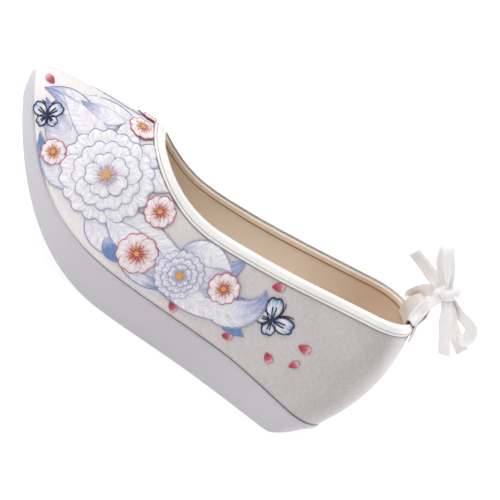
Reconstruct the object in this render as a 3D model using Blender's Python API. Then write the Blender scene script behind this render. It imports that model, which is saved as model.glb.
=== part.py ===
"""Left shoe of a pair of embroidered wedge shoes with an upturned toe and a ribbon bow at the heel.

Metres, toe along +X, the shoe's left side along +Y, up along +Z, standing on z = 0.
Every piece is worked out from one last: an outline in plan, the height of the seam where the upper
meets the sole, a crown over each section and the height of the collar along the shoe.
Lengths along the shoe are measured from the heel's furthest point towards the toe.
"""
import math
from collections import namedtuple

import bmesh
import bpy
import numpy as np

# Overall sizes
SHOE_LENGTH = 0.247
CLEARANCE = 0.0003
LIP = 0.001

# Outline of the seam in plan
HEEL_BACK = 0.008
TOE_TIP = SHOE_LENGTH - LIP
HEEL_HUB = 0.037
TOE_HUB = 0.152
HEEL_HALF_WIDTH = 0.0298
HEEL_SQUARENESS = 2.3
BALL_HALF_WIDTH = 0.040
BALL_AT = {1: 0.155, -1: 0.163}
WAIST_IN = {1: 0.0022, -1: 0.0058}
TOE_TAPER = 1.9
TOE_POINT = 0.62
TOE_SWING = 0.003

# Seam and sole heights
SOLE_HEIGHT = 0.0213
HEEL_DROP = 0.0048
HEEL_DROP_FROM = 0.085
TOE_RISE = 0.0445
TOE_RISE_LENGTH = 0.095
TOE_RISE_CURVE = 2.7
FLAT_FRONT = 0.143
FLAT_REAR = 0.0304
PROW_RISE = 0.056
PROW_CURVE = 2.25
HEEL_CUT_SLOPE = 0.67
SOLE_TAPER = 0.0035
SOLE_EDGE = 0.0012

# Collar
COLLAR_LOW = 0.0702
COLLAR_LOW_AT = {1: 0.128, -1: 0.137}
THROAT_AT = 0.175
THROAT_RISE = 0.0143
THROAT_CURVE = 2.1
HEEL_COLLAR_AT = 0.007
HEEL_COLLAR_RISE = 0.0233
HEEL_COLLAR_CURVE = 1.25

# Upper and binding
WALL = 0.002
BINDING_THICK = 0.0008
BINDING_OUTSIDE = 0.0062
BINDING_INSIDE = 0.0050
UPPER_ROWS = 14

# Insole with its heel wedge
INSOLE_THICK = 0.0035
HEEL_LIFT = 0.022
LIFT_FROM = 0.145
LIFT_TO = 0.040
INSOLE_ROOM = 0.0005
INSOLE_TOE_ROOM = 0.0028

# Heel loop
TAB_THICK = 0.0011
TAB_INSIDE = 0.0070
TAB_OUTSIDE = 0.0080
TAB_ABOVE = 0.0105
TAB_LEAN = 0.0010
TAB_BASE_TURN = 27.0
TAB_TOP_TURN = 21.0

# Ribbon bow
RIBBON_WIDTH = 0.0064
RIBBON_THICK = 0.0008
KNOT_AT = 0.0048
KNOT_LEFT = 0.0
KNOT_UP = 0.1138
KNOT_LONG = 0.0135
KNOT_DEEP = 0.0100
KNOT_TALL = 0.0088
KNOT_TURN = -46.0
KNOT_PLACE = np.array((KNOT_AT - SHOE_LENGTH / 2.0, KNOT_LEFT, KNOT_UP))

Section = namedtuple("Section", "from_heel crown fullness ramp flare")
SECTIONS = (
    Section(0.008, 0.300, 2.2, 0.00, 0.0078),
    Section(0.017, 0.215, 2.2, 0.00, 0.0068),
    Section(0.037, 0.150, 2.2, 0.00, 0.0030),
    Section(0.076, 0.134, 2.2, 0.00, 0.0018),
    Section(0.108, 0.101, 2.2, 0.00, 0.0010),
    Section(0.131, 0.088, 2.2, 0.00, 0.0004),
    Section(0.152, 0.0874, 2.2, 0.00, 0.0),
    Section(0.200, 0.0874, 2.25, 0.05, 0.0),
    Section(0.228, 0.0874, 2.7, 0.22, 0.0),
    Section(0.240, 0.0874, 3.4, 0.42, 0.0),
    Section(0.246, 0.0874, 4.0, 0.52, 0.0),
)

Column = namedtuple("Column", "side hub_at hub_y way_x way_y reach foot crown fullness ramp flare top")

Strand = namedtuple("Strand", "width_at_knot width_at_end folds")
Fold = namedtuple("Fold", "back left up")
STRANDS = {
    "bow_loop_front": Strand((-0.53, 0.70, -0.46), (-0.53, 0.70, -0.46), (
        Fold(-0.0020, 0.0020, 0.0041),
        Fold(-0.0084, 0.0042, 0.0126),
        Fold(-0.0138, 0.0038, 0.0178),
        Fold(-0.0170, 0.0020, 0.0196),
        Fold(-0.0192, -0.0008, 0.0184),
        Fold(-0.0196, -0.0028, 0.0148),
        Fold(-0.0162, -0.0030, 0.0098),
        Fold(-0.0114, -0.0022, 0.0060),
        Fold(-0.0072, -0.0014, 0.0036),
    )),
    "bow_tail_front": Strand((0.20, 0.10, 0.97), (0.20, 0.36, 0.91), (
        Fold(-0.0055, -0.0023, -0.0003),
        Fold(-0.0112, -0.0056, 0.0008),
        Fold(-0.0170, -0.0068, 0.0024),
        Fold(-0.0266, -0.0070, 0.0042),
    )),
    "bow_loop_back": Strand((0.27, 0.89, 0.36), (0.27, 0.89, 0.36), (
        Fold(0.0056, -0.0010, -0.0003),
        Fold(0.0120, -0.0018, -0.0018),
        Fold(0.0190, -0.0022, -0.0042),
        Fold(0.0246, -0.0024, -0.0072),
        Fold(0.0276, -0.0024, -0.0124),
        Fold(0.0258, -0.0022, -0.0172),
        Fold(0.0212, -0.0020, -0.0168),
        Fold(0.0150, -0.0016, -0.0118),
        Fold(0.0086, -0.0012, -0.0064),
    )),
    "bow_tail_back": Strand((0.74, 0.20, 0.63), (0.62, 0.58, 0.52), (
        Fold(0.0027, 0.0024, -0.0033),
        Fold(0.0074, 0.0058, -0.0094),
        Fold(0.0120, 0.0068, -0.0152),
        Fold(0.0166, 0.0068, -0.0206),
        Fold(0.0208, 0.0062, -0.0254),
    )),
    "bow_tail_low": Strand((0.50, -0.10, 0.85), (0.50, -0.34, 0.79), (
        Fold(0.0021, -0.0040, -0.0035),
        Fold(0.0110, -0.0080, -0.0098),
        Fold(0.0190, -0.0090, -0.0152),
        Fold(0.0326, -0.0090, -0.0222),
    )),
}
TieFold = namedtuple("TieFold", "turn height")
TIE_TUNNEL = (
    TieFold(-33.0, 0.0060), TieFold(-20.0, 0.0034), TieFold(0.0, 0.0026),
    TieFold(20.0, 0.0034), TieFold(33.0, 0.0060),
)
TIE_FAR = (Fold(-0.0042, -0.0049, -0.0036), Fold(-0.0092, -0.0118, -0.0076))
TIE_NEAR = (Fold(-0.0076, 0.0120, -0.0090), Fold(-0.0027, 0.0047, -0.0037))
TIE_WIDTH_WAY = (-0.80, 0.0, -0.60)
TIE_GATHER = 0.48

Finish = namedtuple("Finish", "colour roughness")
FINISHES = {
    "sole": Finish((0.62, 0.61, 0.62, 1.0), 0.55),
    "upper": Finish((0.80, 0.78, 0.76, 1.0), 0.45),
    "collar_binding": Finish((0.88, 0.87, 0.85, 1.0), 0.40),
    "insole": Finish((0.60, 0.46, 0.33, 1.0), 0.60),
    "heel_loop": Finish((0.62, 0.55, 0.47, 1.0), 0.60),
    "bow": Finish((0.84, 0.82, 0.79, 1.0), 0.40),
}
SHARP_ANGLE = math.radians(40.0)


def ease(value):
    """Smooth step from 0 to 1."""
    value = min(max(value, 0.0), 1.0)
    return value * value * (3.0 - 2.0 * value)


def along(column, at):
    """One column of the section table at a length, on a monotone cubic through its rows."""
    places = [row.from_heel for row in SECTIONS]
    values = [getattr(row, column) for row in SECTIONS]
    if at <= places[0]:
        return values[0]
    if at >= places[-1]:
        return values[-1]
    steps = [b - a for a, b in zip(places, places[1:])]
    grades = [(b - a) / s for a, b, s in zip(values, values[1:], steps)]
    slopes = [grades[0]]
    for before, after in zip(grades, grades[1:]):
        same_way = before * after > 0.0
        slopes.append(2.0 * before * after / (before + after) if same_way else 0.0)
    slopes.append(grades[-1])
    index = max(i for i, place in enumerate(places) if place <= at)
    step = steps[index]
    t = (at - places[index]) / step
    start = (1.0 + 2.0 * t) * (1.0 - t) ** 2 * values[index]
    start += t * (1.0 - t) ** 2 * step * slopes[index]
    end = t * t * (3.0 - 2.0 * t) * values[index + 1]
    end += t * t * (t - 1.0) * step * slopes[index + 1]
    return start + end


def half_width(at, side):
    """Half width of the seam outline: round heel, drawn-in waist, full ball and tapered toe."""
    ball = BALL_AT[side]
    if at >= ball:
        t = min((at - ball) / (TOE_TIP - ball), 1.0)
        return BALL_HALF_WIDTH * (1.0 - t ** TOE_TAPER) ** TOE_POINT
    if at <= HEEL_HUB:
        t = min((HEEL_HUB - at) / (HEEL_HUB - HEEL_BACK), 1.0)
        return HEEL_HALF_WIDTH * (1.0 - t ** HEEL_SQUARENESS) ** (1.0 / HEEL_SQUARENESS)
    t = (at - HEEL_HUB) / (ball - HEEL_HUB)
    plain = HEEL_HALF_WIDTH + (BALL_HALF_WIDTH - HEEL_HALF_WIDTH) * ease(t)
    return plain - WAIST_IN[side] * math.sin(math.pi * t) ** 2


def centre(at):
    """Sideways place of the centre line: it swings to the inner side towards the toe."""
    t = max(0.0, (at - TOE_HUB) / (TOE_TIP - TOE_HUB))
    return -TOE_SWING * t * t


def seam_height(at):
    """Height of the seam: level, a little lower at the heel, and swept up to the toe."""
    drop = HEEL_DROP * ease((HEEL_DROP_FROM - at) / (HEEL_DROP_FROM - HEEL_BACK))
    t = max(0.0, (at - (TOE_TIP - TOE_RISE_LENGTH)) / TOE_RISE_LENGTH)
    return SOLE_HEIGHT - drop + TOE_RISE * t ** TOE_RISE_CURVE


def sole_bottom(at):
    """Height of the sole's underside: flat, swept up to the toe and cut at a slant at the heel."""
    if at > FLAT_FRONT:
        return PROW_RISE * ((at - FLAT_FRONT) / (TOE_TIP - FLAT_FRONT)) ** PROW_CURVE
    return max(0.0, (FLAT_REAR - at) * HEEL_CUT_SLOPE)


def collar_height(at, side):
    """Height of the finished collar edge: lowest beside the instep, up to the throat and heel."""
    low_at = COLLAR_LOW_AT[side]
    if at > low_at:
        t = (at - low_at) / (THROAT_AT - low_at)
        return COLLAR_LOW + THROAT_RISE * t ** THROAT_CURVE
    t = (low_at - at) / (low_at - HEEL_COLLAR_AT)
    return COLLAR_LOW + HEEL_COLLAR_RISE * t ** HEEL_COLLAR_CURVE


def insole_top(at):
    """Height of the footbed: a thin insole in front, lifted over the hidden wedge at the heel."""
    lift = HEEL_LIFT * ease((LIFT_FROM - at) / (LIFT_FROM - LIFT_TO))
    return seam_height(at) + INSOLE_THICK + lift


def stations():
    """Lengths of the columns on one side, closer together round the heel and the toe."""
    heel_turns = np.linspace(0.0, math.pi / 2.0, 9)[:-1]
    heel = HEEL_HUB - (HEEL_HUB - HEEL_BACK) * np.cos(heel_turns) ** (2.0 / HEEL_SQUARENESS)
    middle = np.linspace(HEEL_HUB, TOE_HUB, 14)[:-1]
    toe = TOE_HUB + (TOE_TIP - TOE_HUB) * np.sin(np.linspace(0.0, math.pi / 2.0, 21))
    return [float(value) for value in np.concatenate([heel, middle, toe])]


def column(at, side):
    """One upright line of the upper, from the seam towards its hub on the centre line."""
    hub_at = min(max(at, HEEL_HUB), TOE_HUB)
    hub_y = centre(hub_at)
    rim_y = centre(at) + side * half_width(at, side)
    run_x = at - hub_at
    run_y = rim_y - hub_y
    reach = math.hypot(run_x, run_y)
    return Column(
        side, hub_at, hub_y, run_x / reach, run_y / reach, reach, seam_height(at), along("crown", at),
        along("fullness", at), along("ramp", at), along("flare", at), collar_height(at, side),
    )


def half_columns(side):
    """Columns of one side, from the middle of the heel to the middle of the toe."""
    return [column(at, side) for at in stations()]


def ring_columns():
    """Columns right round the shoe: left side to the toe, then back along the right side."""
    left = half_columns(1)
    right = half_columns(-1)
    return left + right[-2:0:-1]


def shell(col, angle, inset):
    """Length, sideways place and height on the last, at an angle from seam (0) to crown."""
    power = 2.0 / col.fullness
    spread = max(math.cos(angle), 0.0) ** power
    lift = (1.0 - col.ramp) * math.sin(angle) ** power + col.ramp * (1.0 - spread)
    z = col.foot + (col.crown - col.foot - inset) * lift
    share = (z - col.foot) / (col.top - col.foot)
    out = (col.reach - inset) * spread + 4.0 * col.flare * share * (1.0 - share)
    return np.array((col.hub_at + col.way_x * out, col.hub_y + col.way_y * out, z))


def cut_angle(col, inset, below):
    """Angle at which a column meets the collar line, or a line a little below it."""
    low, high = 0.0, math.pi / 2.0
    for _ in range(48):
        middle = 0.5 * (low + high)
        point = shell(col, middle, inset)
        if point[2] < collar_height(point[0], col.side) - below:
            low = middle
        else:
            high = middle
    return 0.5 * (low + high)


def path(col, inset, below):
    """Points up a column to the collar, close together, with their running length."""
    top = cut_angle(col, inset, below)
    turns = top * np.linspace(0.0, 1.0, 140) ** 1.6
    points = np.array([shell(col, turn, inset) for turn in turns])
    steps = np.linalg.norm(np.diff(points, axis=0), axis=1)
    return points, np.concatenate([[0.0], np.cumsum(steps)])


def at_length(points, run, length):
    """Point at a running length on a path."""
    return np.array([np.interp(length, run, points[:, axis]) for axis in range(3)])


def angle_at_height(col, inset, height):
    """Angle at which a column reaches a height."""
    low, high = 0.0, math.pi / 2.0
    for _ in range(40):
        middle = 0.5 * (low + high)
        if shell(col, middle, inset)[2] < height:
            low = middle
        else:
            high = middle
    return 0.5 * (low + high)


def placed(point):
    """Length along the shoe turned into x about the middle of the shoe."""
    return (point[0] - SHOE_LENGTH / 2.0, point[1], point[2])


def finish(name, vertices, faces, look):
    """Mesh object with merged ends, faces out and its own material."""
    mesh = bpy.data.meshes.new(name)
    mesh.from_pydata([tuple(map(float, vertex)) for vertex in vertices], [], faces)
    work = bmesh.new()
    work.from_mesh(mesh)
    bmesh.ops.remove_doubles(work, verts=work.verts, dist=1e-6)
    bmesh.ops.dissolve_degenerate(work, edges=work.edges, dist=1e-7)
    bmesh.ops.recalc_face_normals(work, faces=work.faces)
    bmesh.ops.triangulate(work, faces=work.faces)
    work.to_mesh(mesh)
    work.free()
    mesh.shade_smooth()
    mesh.set_sharp_from_angle(angle=SHARP_ANGLE)
    obj = bpy.data.objects.new(name, mesh)
    bpy.context.collection.objects.link(obj)
    material = bpy.data.materials.new(name)
    material.use_nodes = True
    surface = material.node_tree.nodes["Principled BSDF"]
    surface.inputs["Base Color"].default_value = FINISHES[look].colour
    surface.inputs["Roughness"].default_value = FINISHES[look].roughness
    mesh.materials.append(material)


def loft(name, sections, look, closed):
    """Skin over closed sections of equal count: a closed ring of them, or a run with flat ends."""
    count = len(sections[0])
    vertices = [point for section in sections for point in section]
    faces = []
    spans = len(sections) if closed else len(sections) - 1
    for i in range(spans):
        first = i * count
        second = ((i + 1) % len(sections)) * count
        for j in range(count):
            k = (j + 1) % count
            faces.append((first + j, first + k, second + k, second + j))
    if not closed:
        faces.append(tuple(range(count)))
        faces.append(tuple(range(len(vertices) - count, len(vertices))))
    finish(name, vertices, faces, look)


def across(left, right):
    """Closed section from a left side listed top to bottom and a right side listed the same."""
    return [placed(point) for point in left + right[::-1]]


def sole_side(col):
    """One side of the sole at a column: top edge, wall and bottom edge, each edge eased."""
    def at_reach(reach, height):
        place = col.hub_at + col.way_x * reach
        return np.array((place, col.hub_y + col.way_y * reach, height(place)))

    outer = col.reach + LIP
    inner = col.reach + LIP - SOLE_TAPER
    top = at_reach(outer, seam_height)
    bottom = at_reach(inner, sole_bottom)
    tall = top[2] - bottom[2] - CLEARANCE
    edge = min(SOLE_EDGE, 0.25 * tall)
    upper_edge = at_reach(outer - edge, seam_height) - (0.0, 0.0, CLEARANCE)
    lower_edge = at_reach(inner - edge, sole_bottom)
    top = top - (0.0, 0.0, CLEARANCE + edge)
    bottom = bottom + (0.0, 0.0, edge)
    middle = 0.5 * (top + bottom) + np.array((col.way_x, col.way_y, 0.0)) * 0.02 * tall
    return [upper_edge, top, middle, bottom, lower_edge]


def build_sole():
    """Boat-shaped platform with its top under the upper and insole."""
    sections = []
    for left, right in zip(half_columns(1), half_columns(-1)):
        sections.append(across(sole_side(left), sole_side(right)))
    loft("sole", sections, "sole", False)


def build_upper():
    """Hollow shell between the seam and the collar, open at the top and underneath."""
    sections = []
    for col in ring_columns():
        below = BINDING_THICK + CLEARANCE
        outside, outside_run = path(col, 0.0, below)
        inside, inside_run = path(col, WALL, below)
        shares = np.linspace(0.0, 1.0, UPPER_ROWS + 1)
        section = [at_length(outside, outside_run, outside_run[-1] * share) for share in shares]
        section += [at_length(inside, inside_run, inside_run[-1] * share) for share in shares[::-1]]
        sections.append([placed(point) for point in section])
    loft("upper", sections, "upper", True)


def build_binding():
    """Folded band over the collar edge, with a leg outside and a leg inside."""
    out = CLEARANCE + BINDING_THICK
    within = WALL + CLEARANCE + BINDING_THICK
    layers = (
        (-out, 0.0, (BINDING_OUTSIDE, BINDING_OUTSIDE / 2.0, 0.0008)),
        (-CLEARANCE, 0.0, (0.0,)),
        (WALL + CLEARANCE, 0.0, (0.0,)),
        (within, 0.0, (0.0008, BINDING_INSIDE / 2.0, BINDING_INSIDE)),
        (WALL + CLEARANCE, BINDING_THICK, (BINDING_INSIDE - BINDING_THICK, BINDING_INSIDE / 2.0, 0.0)),
        (-CLEARANCE, BINDING_THICK, (0.0, BINDING_OUTSIDE / 2.0, BINDING_OUTSIDE - BINDING_THICK)),
    )
    sections = []
    for col in ring_columns():
        section = []
        for inset, below, depths in layers:
            points, run = path(col, inset, below)
            section += [at_length(points, run, run[-1] - depth) for depth in depths]
        sections.append([placed(point) for point in section])
    loft("collar_binding", sections, "collar_binding", True)


def insole_side(col):
    """One side of the insole at a column, from the footbed down to the sole."""
    toe_share = max(0.0, (col.hub_at + col.way_x * col.reach - TOE_HUB) / (TOE_TIP - TOE_HUB))
    inset = WALL + INSOLE_ROOM + (INSOLE_TOE_ROOM - INSOLE_ROOM) * toe_share
    points = []
    for share in (1.0, 0.72, 0.36, 0.0):
        reach = col.reach - inset
        for _ in range(6):
            place = col.hub_at + col.way_x * reach
            low = seam_height(place)
            height = low + share * (insole_top(place) - low)
            if height > col.foot:
                point = shell(col, angle_at_height(col, inset, height), inset)
                out = math.hypot(point[0] - col.hub_at, point[1] - col.hub_y)
                reach = min(out, col.reach - inset + 0.006)
            else:
                reach = col.reach - inset
        place = col.hub_at + col.way_x * reach
        low = seam_height(place)
        height = low + share * (insole_top(place) - low)
        points.append(np.array((place, col.hub_y + col.way_y * reach, height)))
    return points


def build_insole():
    """Footbed with the hidden wedge under the heel, inside the upper and on the sole."""
    sections = []
    for left, right in zip(half_columns(1), half_columns(-1)):
        sections.append(across(insole_side(left), insole_side(right)))
    loft("insole", sections, "insole", False)


def heel_column(turn):
    """Column of the last at a turn round the heel, in degrees from the back, left side first."""
    spread = math.cos(math.radians(abs(turn))) ** (2.0 / HEEL_SQUARENESS)
    return column(HEEL_HUB - (HEEL_HUB - HEEL_BACK) * spread, 1 if turn >= 0.0 else -1)


def heel_reach(col, inset, height):
    """Reach from the hub of a heel column, at a height from the collar edge, never in past it."""
    edge = shell(col, cut_angle(col, inset, 0.0), inset)
    if height >= 0.0:
        point = edge
    else:
        point = shell(col, angle_at_height(col, inset, edge[2] + height), inset)
    return math.hypot(point[0] - col.hub_at, point[1] - col.hub_y), edge[2]


def heel_place(turn, reach, height):
    """Point round the heel at a reach from the column's hub."""
    col = heel_column(turn)
    return np.array((col.hub_at + col.way_x * reach, col.hub_y + col.way_y * reach, height))


def tab_faces(turn):
    """Reach of the loop's tunnel walls at the collar, and the height of the collar, at a turn."""
    col = heel_column(turn)
    outer, collar = heel_reach(col, -2.0 * CLEARANCE - BINDING_THICK, 0.0)
    inner, collar = heel_reach(col, WALL + 2.0 * CLEARANCE + BINDING_THICK, 0.0)
    return outer, inner, collar


def tab_section(share):
    """Folded strip at one share of its width: outside leg, round top and inside leg, both faces."""
    def at_height(height):
        above = ease(height / TAB_ABOVE)
        half = TAB_BASE_TURN + (TAB_TOP_TURN - TAB_BASE_TURN) * above
        return half * (2.0 * share - 1.0), TAB_LEAN * above

    def face(thick):
        points = []
        for drop in (-TAB_OUTSIDE, -0.5 * TAB_OUTSIDE, 0.0):
            turn, lean = at_height(drop)
            reach, collar = heel_reach(heel_column(turn), -2.0 * CLEARANCE - BINDING_THICK, drop)
            points.append(heel_place(turn, reach + thick, collar + drop))
        for bend in np.linspace(0.0, math.pi, 9):
            turn, lean = at_height(TAB_ABOVE)
            for _ in range(3):
                outer, inner, collar = tab_faces(turn)
                half = 0.5 * (outer - inner) + thick
                height = TAB_ABOVE - half - TAB_THICK + thick + half * math.sin(bend)
                turn, lean = at_height(height)
            reach = 0.5 * (outer + inner) + lean + half * math.cos(bend)
            points.append(heel_place(turn, reach, collar + height))
        for drop in (0.0, -0.5 * TAB_INSIDE, -TAB_INSIDE):
            turn, lean = at_height(drop)
            reach, collar = heel_reach(heel_column(turn), WALL + 2.0 * CLEARANCE + BINDING_THICK, drop)
            points.append(heel_place(turn, reach - thick, collar + drop))
        return points

    return [placed(point) for point in face(TAB_THICK) + face(0.0)[::-1]]


def build_tab():
    """Loop of folded strip over the collar at the heel, with a tunnel for the ribbon."""
    loft("heel_loop", [tab_section(share) for share in np.linspace(0.0, 1.0, 15)], "heel_loop", False)


def smooth_run(points, steps):
    """Points on a smooth curve through a list of points."""
    points = np.array(points)
    padded = np.vstack([2.0 * points[0] - points[1], points, 2.0 * points[-1] - points[-2]])
    run = []
    for i in range(len(points) - 1):
        a, b, c, d = padded[i:i + 4]
        for t in np.linspace(0.0, 1.0, steps, endpoint=False):
            run.append(
                0.5 * (2.0 * b + (c - a) * t + (2.0 * a - 5.0 * b + 4.0 * c - d) * t * t
                       + (3.0 * b - a - 3.0 * c + d) * t ** 3)
            )
    run.append(points[-1])
    return np.array(run)


def build_strand(name, strand):
    """Flat ribbon along a run of folds, its width turning from the knot to the end."""
    run = smooth_run([(-fold.back, fold.left, fold.up) for fold in strand.folds], 4) + KNOT_PLACE
    shares = np.linspace(0.0, 1.0, len(run))[:, None]
    widths = np.array(strand.width_at_knot) * (1.0 - shares) + np.array(strand.width_at_end) * shares
    build_ribbon(name, run, widths * (-1.0, 1.0, 1.0), np.ones(len(run)))


def build_ribbon(name, run, widths, breadths):
    """Flat solid ribbon along a run of points, its width kept square to the run."""
    ways = np.gradient(run, axis=0)
    ways /= np.linalg.norm(ways, axis=1)[:, None]
    widths = widths - ways * np.sum(widths * ways, axis=1)[:, None]
    widths /= np.linalg.norm(widths, axis=1)[:, None]
    outs = 0.5 * RIBBON_THICK * np.cross(ways, widths)
    widths = 0.5 * RIBBON_WIDTH * widths * breadths[:, None]
    sections = []
    for point, width, out in zip(run, widths, outs):
        sections.append([point + width + out, point - width + out, point - width - out, point + width - out])
    loft(name, sections, "bow", False)


def build_tie():
    """Ribbon from one side of the knot, gathered through the heel loop's tunnel, to the other side."""
    def at_knot(fold, gather):
        point = np.array((-fold.back, fold.left, fold.up)) + KNOT_PLACE
        return np.concatenate([point, TIE_WIDTH_WAY, [gather]])

    rows = [at_knot(fold, gather) for fold, gather in zip(TIE_FAR, (1.0, 0.8))]
    for fold in TIE_TUNNEL:
        col = heel_column(fold.turn)
        outer, inner, collar = tab_faces(fold.turn)
        reach = 0.5 * (outer + inner) + 0.2 * TAB_LEAN
        point = placed(heel_place(fold.turn, reach, collar + fold.height))
        rows.append(np.concatenate([point, (col.way_x, col.way_y, 0.0), [TIE_GATHER]]))
    rows += [at_knot(fold, gather) for fold, gather in zip(TIE_NEAR, (0.8, 1.0))]
    run = smooth_run(rows, 4)
    build_ribbon("bow_tie", run[:, :3], run[:, 3:6], run[:, 6])


def build_knot():
    """Rounded knot of the bow, wider across the strands than along them."""
    spin = math.radians(KNOT_TURN)
    rings = np.linspace(-math.pi / 2.0, math.pi / 2.0, 9)
    sections = []
    for ring in rings:
        section = []
        for turn in np.linspace(0.0, 2.0 * math.pi, 16, endpoint=False):
            across_it = 0.5 * KNOT_LONG * math.sin(ring)
            round_it = abs(math.cos(ring)) ** 0.7
            deep = 0.5 * KNOT_DEEP * round_it * math.sin(turn)
            tall = 0.5 * KNOT_TALL * round_it * math.cos(turn)
            x = across_it * math.cos(spin) + tall * math.sin(spin)
            z = across_it * math.sin(spin) - tall * math.cos(spin)
            section.append(KNOT_PLACE + (x, deep, z))
        sections.append(section)
    loft("bow_knot", sections, "bow", False)


for old in list(bpy.data.objects):
    bpy.data.objects.remove(old)
build_sole()
build_upper()
build_insole()
build_binding()
build_tab()
build_knot()
build_tie()
for strand_name, strand_form in STRANDS.items():
    build_strand(strand_name, strand_form)
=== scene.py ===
"""Looks of the left embroidered wedge shoe: cloth, stitching, ribbon bow, sole, light and camera.

Metres, toe along +X, the shoe's left side along +Y, up along +Z, standing on z = 0.
Surfaces are grids worked out from the same last as the solids: columns rise from the seam over the sole
towards a hub on the centre line and stop at the collar. Lengths along the shoe count from the heel.
"""
import math
from collections import namedtuple

import bpy
import numpy as np
from mathutils import Matrix, Vector


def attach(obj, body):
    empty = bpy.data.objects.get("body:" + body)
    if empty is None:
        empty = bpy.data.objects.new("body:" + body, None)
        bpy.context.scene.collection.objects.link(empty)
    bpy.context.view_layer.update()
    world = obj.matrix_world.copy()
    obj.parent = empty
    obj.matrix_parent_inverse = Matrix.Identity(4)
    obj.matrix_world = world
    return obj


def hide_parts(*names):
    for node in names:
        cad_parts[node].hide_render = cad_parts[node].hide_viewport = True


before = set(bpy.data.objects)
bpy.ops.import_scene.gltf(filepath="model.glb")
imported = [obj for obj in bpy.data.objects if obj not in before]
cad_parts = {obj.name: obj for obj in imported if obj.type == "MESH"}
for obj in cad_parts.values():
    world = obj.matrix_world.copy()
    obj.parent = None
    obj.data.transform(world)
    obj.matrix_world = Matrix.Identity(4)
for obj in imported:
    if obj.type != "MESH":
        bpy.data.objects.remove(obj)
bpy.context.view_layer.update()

# The last, as in the solids
SHOE_LENGTH = 0.247
HALF_LENGTH = SHOE_LENGTH / 2.0
CLEARANCE = 0.0003
LIP = 0.001
HEEL_BACK = 0.008
TOE_TIP = SHOE_LENGTH - LIP
HEEL_HUB = 0.037
TOE_HUB = 0.152
HEEL_HALF_WIDTH = 0.0298
HEEL_SQUARENESS = 2.3
BALL_HALF_WIDTH = 0.040
BALL_AT = {"left": 0.155, "right": 0.163}
WAIST_IN = {"left": 0.0022, "right": 0.0058}
TOE_TAPER = 1.9
TOE_POINT = 0.62
TOE_SWING = 0.003
SOLE_HEIGHT = 0.0213
HEEL_DROP = 0.0048
HEEL_DROP_FROM = 0.085
TOE_RISE = 0.0445
TOE_RISE_LENGTH = 0.095
TOE_RISE_CURVE = 2.7
FLAT_FRONT = 0.143
FLAT_REAR = 0.0304
PROW_RISE = 0.056
PROW_CURVE = 2.25
HEEL_CUT_SLOPE = 0.67
HEEL_CUT_ROUND = 0.0011
SOLE_TAPER = 0.0035
COLLAR_LOW = 0.0702
COLLAR_LOW_AT = {"left": 0.128, "right": 0.137}
THROAT_AT = 0.175
THROAT_RISE = 0.0143
THROAT_CURVE = 2.1
HEEL_COLLAR_AT = 0.007
HEEL_COLLAR_RISE = 0.0233
HEEL_COLLAR_CURVE = 1.25
WALL = 0.002
INSOLE_THICK = 0.0035
HEEL_LIFT = 0.022
LIFT_FROM = 0.145
LIFT_TO = 0.040

Section = namedtuple("Section", "from_heel crown fullness ramp flare")
SECTIONS = (
    Section(0.008, 0.300, 2.2, 0.00, 0.0078),
    Section(0.017, 0.215, 2.2, 0.00, 0.0068),
    Section(0.037, 0.150, 2.2, 0.00, 0.0030),
    Section(0.076, 0.134, 2.2, 0.00, 0.0018),
    Section(0.108, 0.101, 2.2, 0.00, 0.0010),
    Section(0.131, 0.088, 2.2, 0.00, 0.0004),
    Section(0.152, 0.0874, 2.2, 0.00, 0.0),
    Section(0.200, 0.0874, 2.25, 0.05, 0.0),
    Section(0.228, 0.0874, 2.7, 0.22, 0.0),
    Section(0.240, 0.0874, 3.4, 0.42, 0.0),
    Section(0.246, 0.0874, 4.0, 0.52, 0.0),
)
Column = namedtuple("Column", "side hub_at hub_y way_x way_y reach foot crown fullness ramp flare top")

# Binding over the collar edge: a satin band, a stitched groove and a narrow piping below it
BAND_DEPTH = 0.0046
PIPING_DEPTH = 0.0062
BAND_THICK = 0.0011
BAND_FULL = 0.0010
PIPING_THICK = 0.0009
GROOVE_ROUND = 0.0007
GROOVE_START = 0.02
GROOVE_THICK = 0.0001
BINDING_INSIDE = 0.0020
INSIDE_EDGE = 0.0001
INSIDE_EDGE_THICK = 0.0002
EDGE_ROUND = 0.0017
EDGE_FULLNESS = 0.9

# Strips, seam threads and painted shadow lines by their depths below the collar edge
Strip = namedtuple("Strip", "top low thick")
FACING = Strip(0.0018, 0.0052, 0.0010)
# A dark cord under the facing's low edge: a painted shadow line below the facing
FACING_SHADOW_CORD = Strip(FACING.low - 0.0002, FACING.low + 0.0009, 0.0004)
# Grey seam threads in the groove and under the piping, which also paint the shade of these creases
SEAM_AND_SHADE_LINES = {
    "seam_and_shade_over_piping": Strip(0.0041, 0.0050, 0.00045),
    "seam_and_shade_under_piping": Strip(0.0059, 0.0068, 0.00035),
}
SEAM_SINK = 0.0001
STITCH_RUN = 0.0018
STITCH_GAP = 0.0007
STITCH_THICK = 0.00022
STITCH_ROUND = 0.002
STITCH_BLUNT = 0.02

# Sole, footbed and lining
SOLE_EDGE = 0.0014
SOLE_EDGE_SHARE = 0.22
SOLE_BULGE = 0.022
SOLE_TOP_SHARES = (0.35, 0.8)
SOLE_UNDER_SHARES = np.linspace(0.95, 0.05, 16)
BED_GAP = 0.0006
BED_TOE_GAP = 0.0022
BED_CREEP = 0.006
BED_DISH = 0.0007
BED_DISH_FULLNESS = 0.6
BED_SKIRT = 0.0025
LINING_TUCK = 0.0008
LINING_GAP = 0.0001

# Soft ridges and troughs, by the distance from a line
Ridge = namedtuple("Ridge", "at wide high")
HEEL_SEAM = (Ridge(0.0, 0.00055, -0.00060), Ridge(0.0017, 0.0009, 0.00030))
HEEL_SEAM_BACK = 0.015
SOLE_TUCK = (Ridge(0.0, 0.0009, -0.0006), Ridge(0.003, 0.0015, 0.0002))
CREASE_FADE = 1.25

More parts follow.
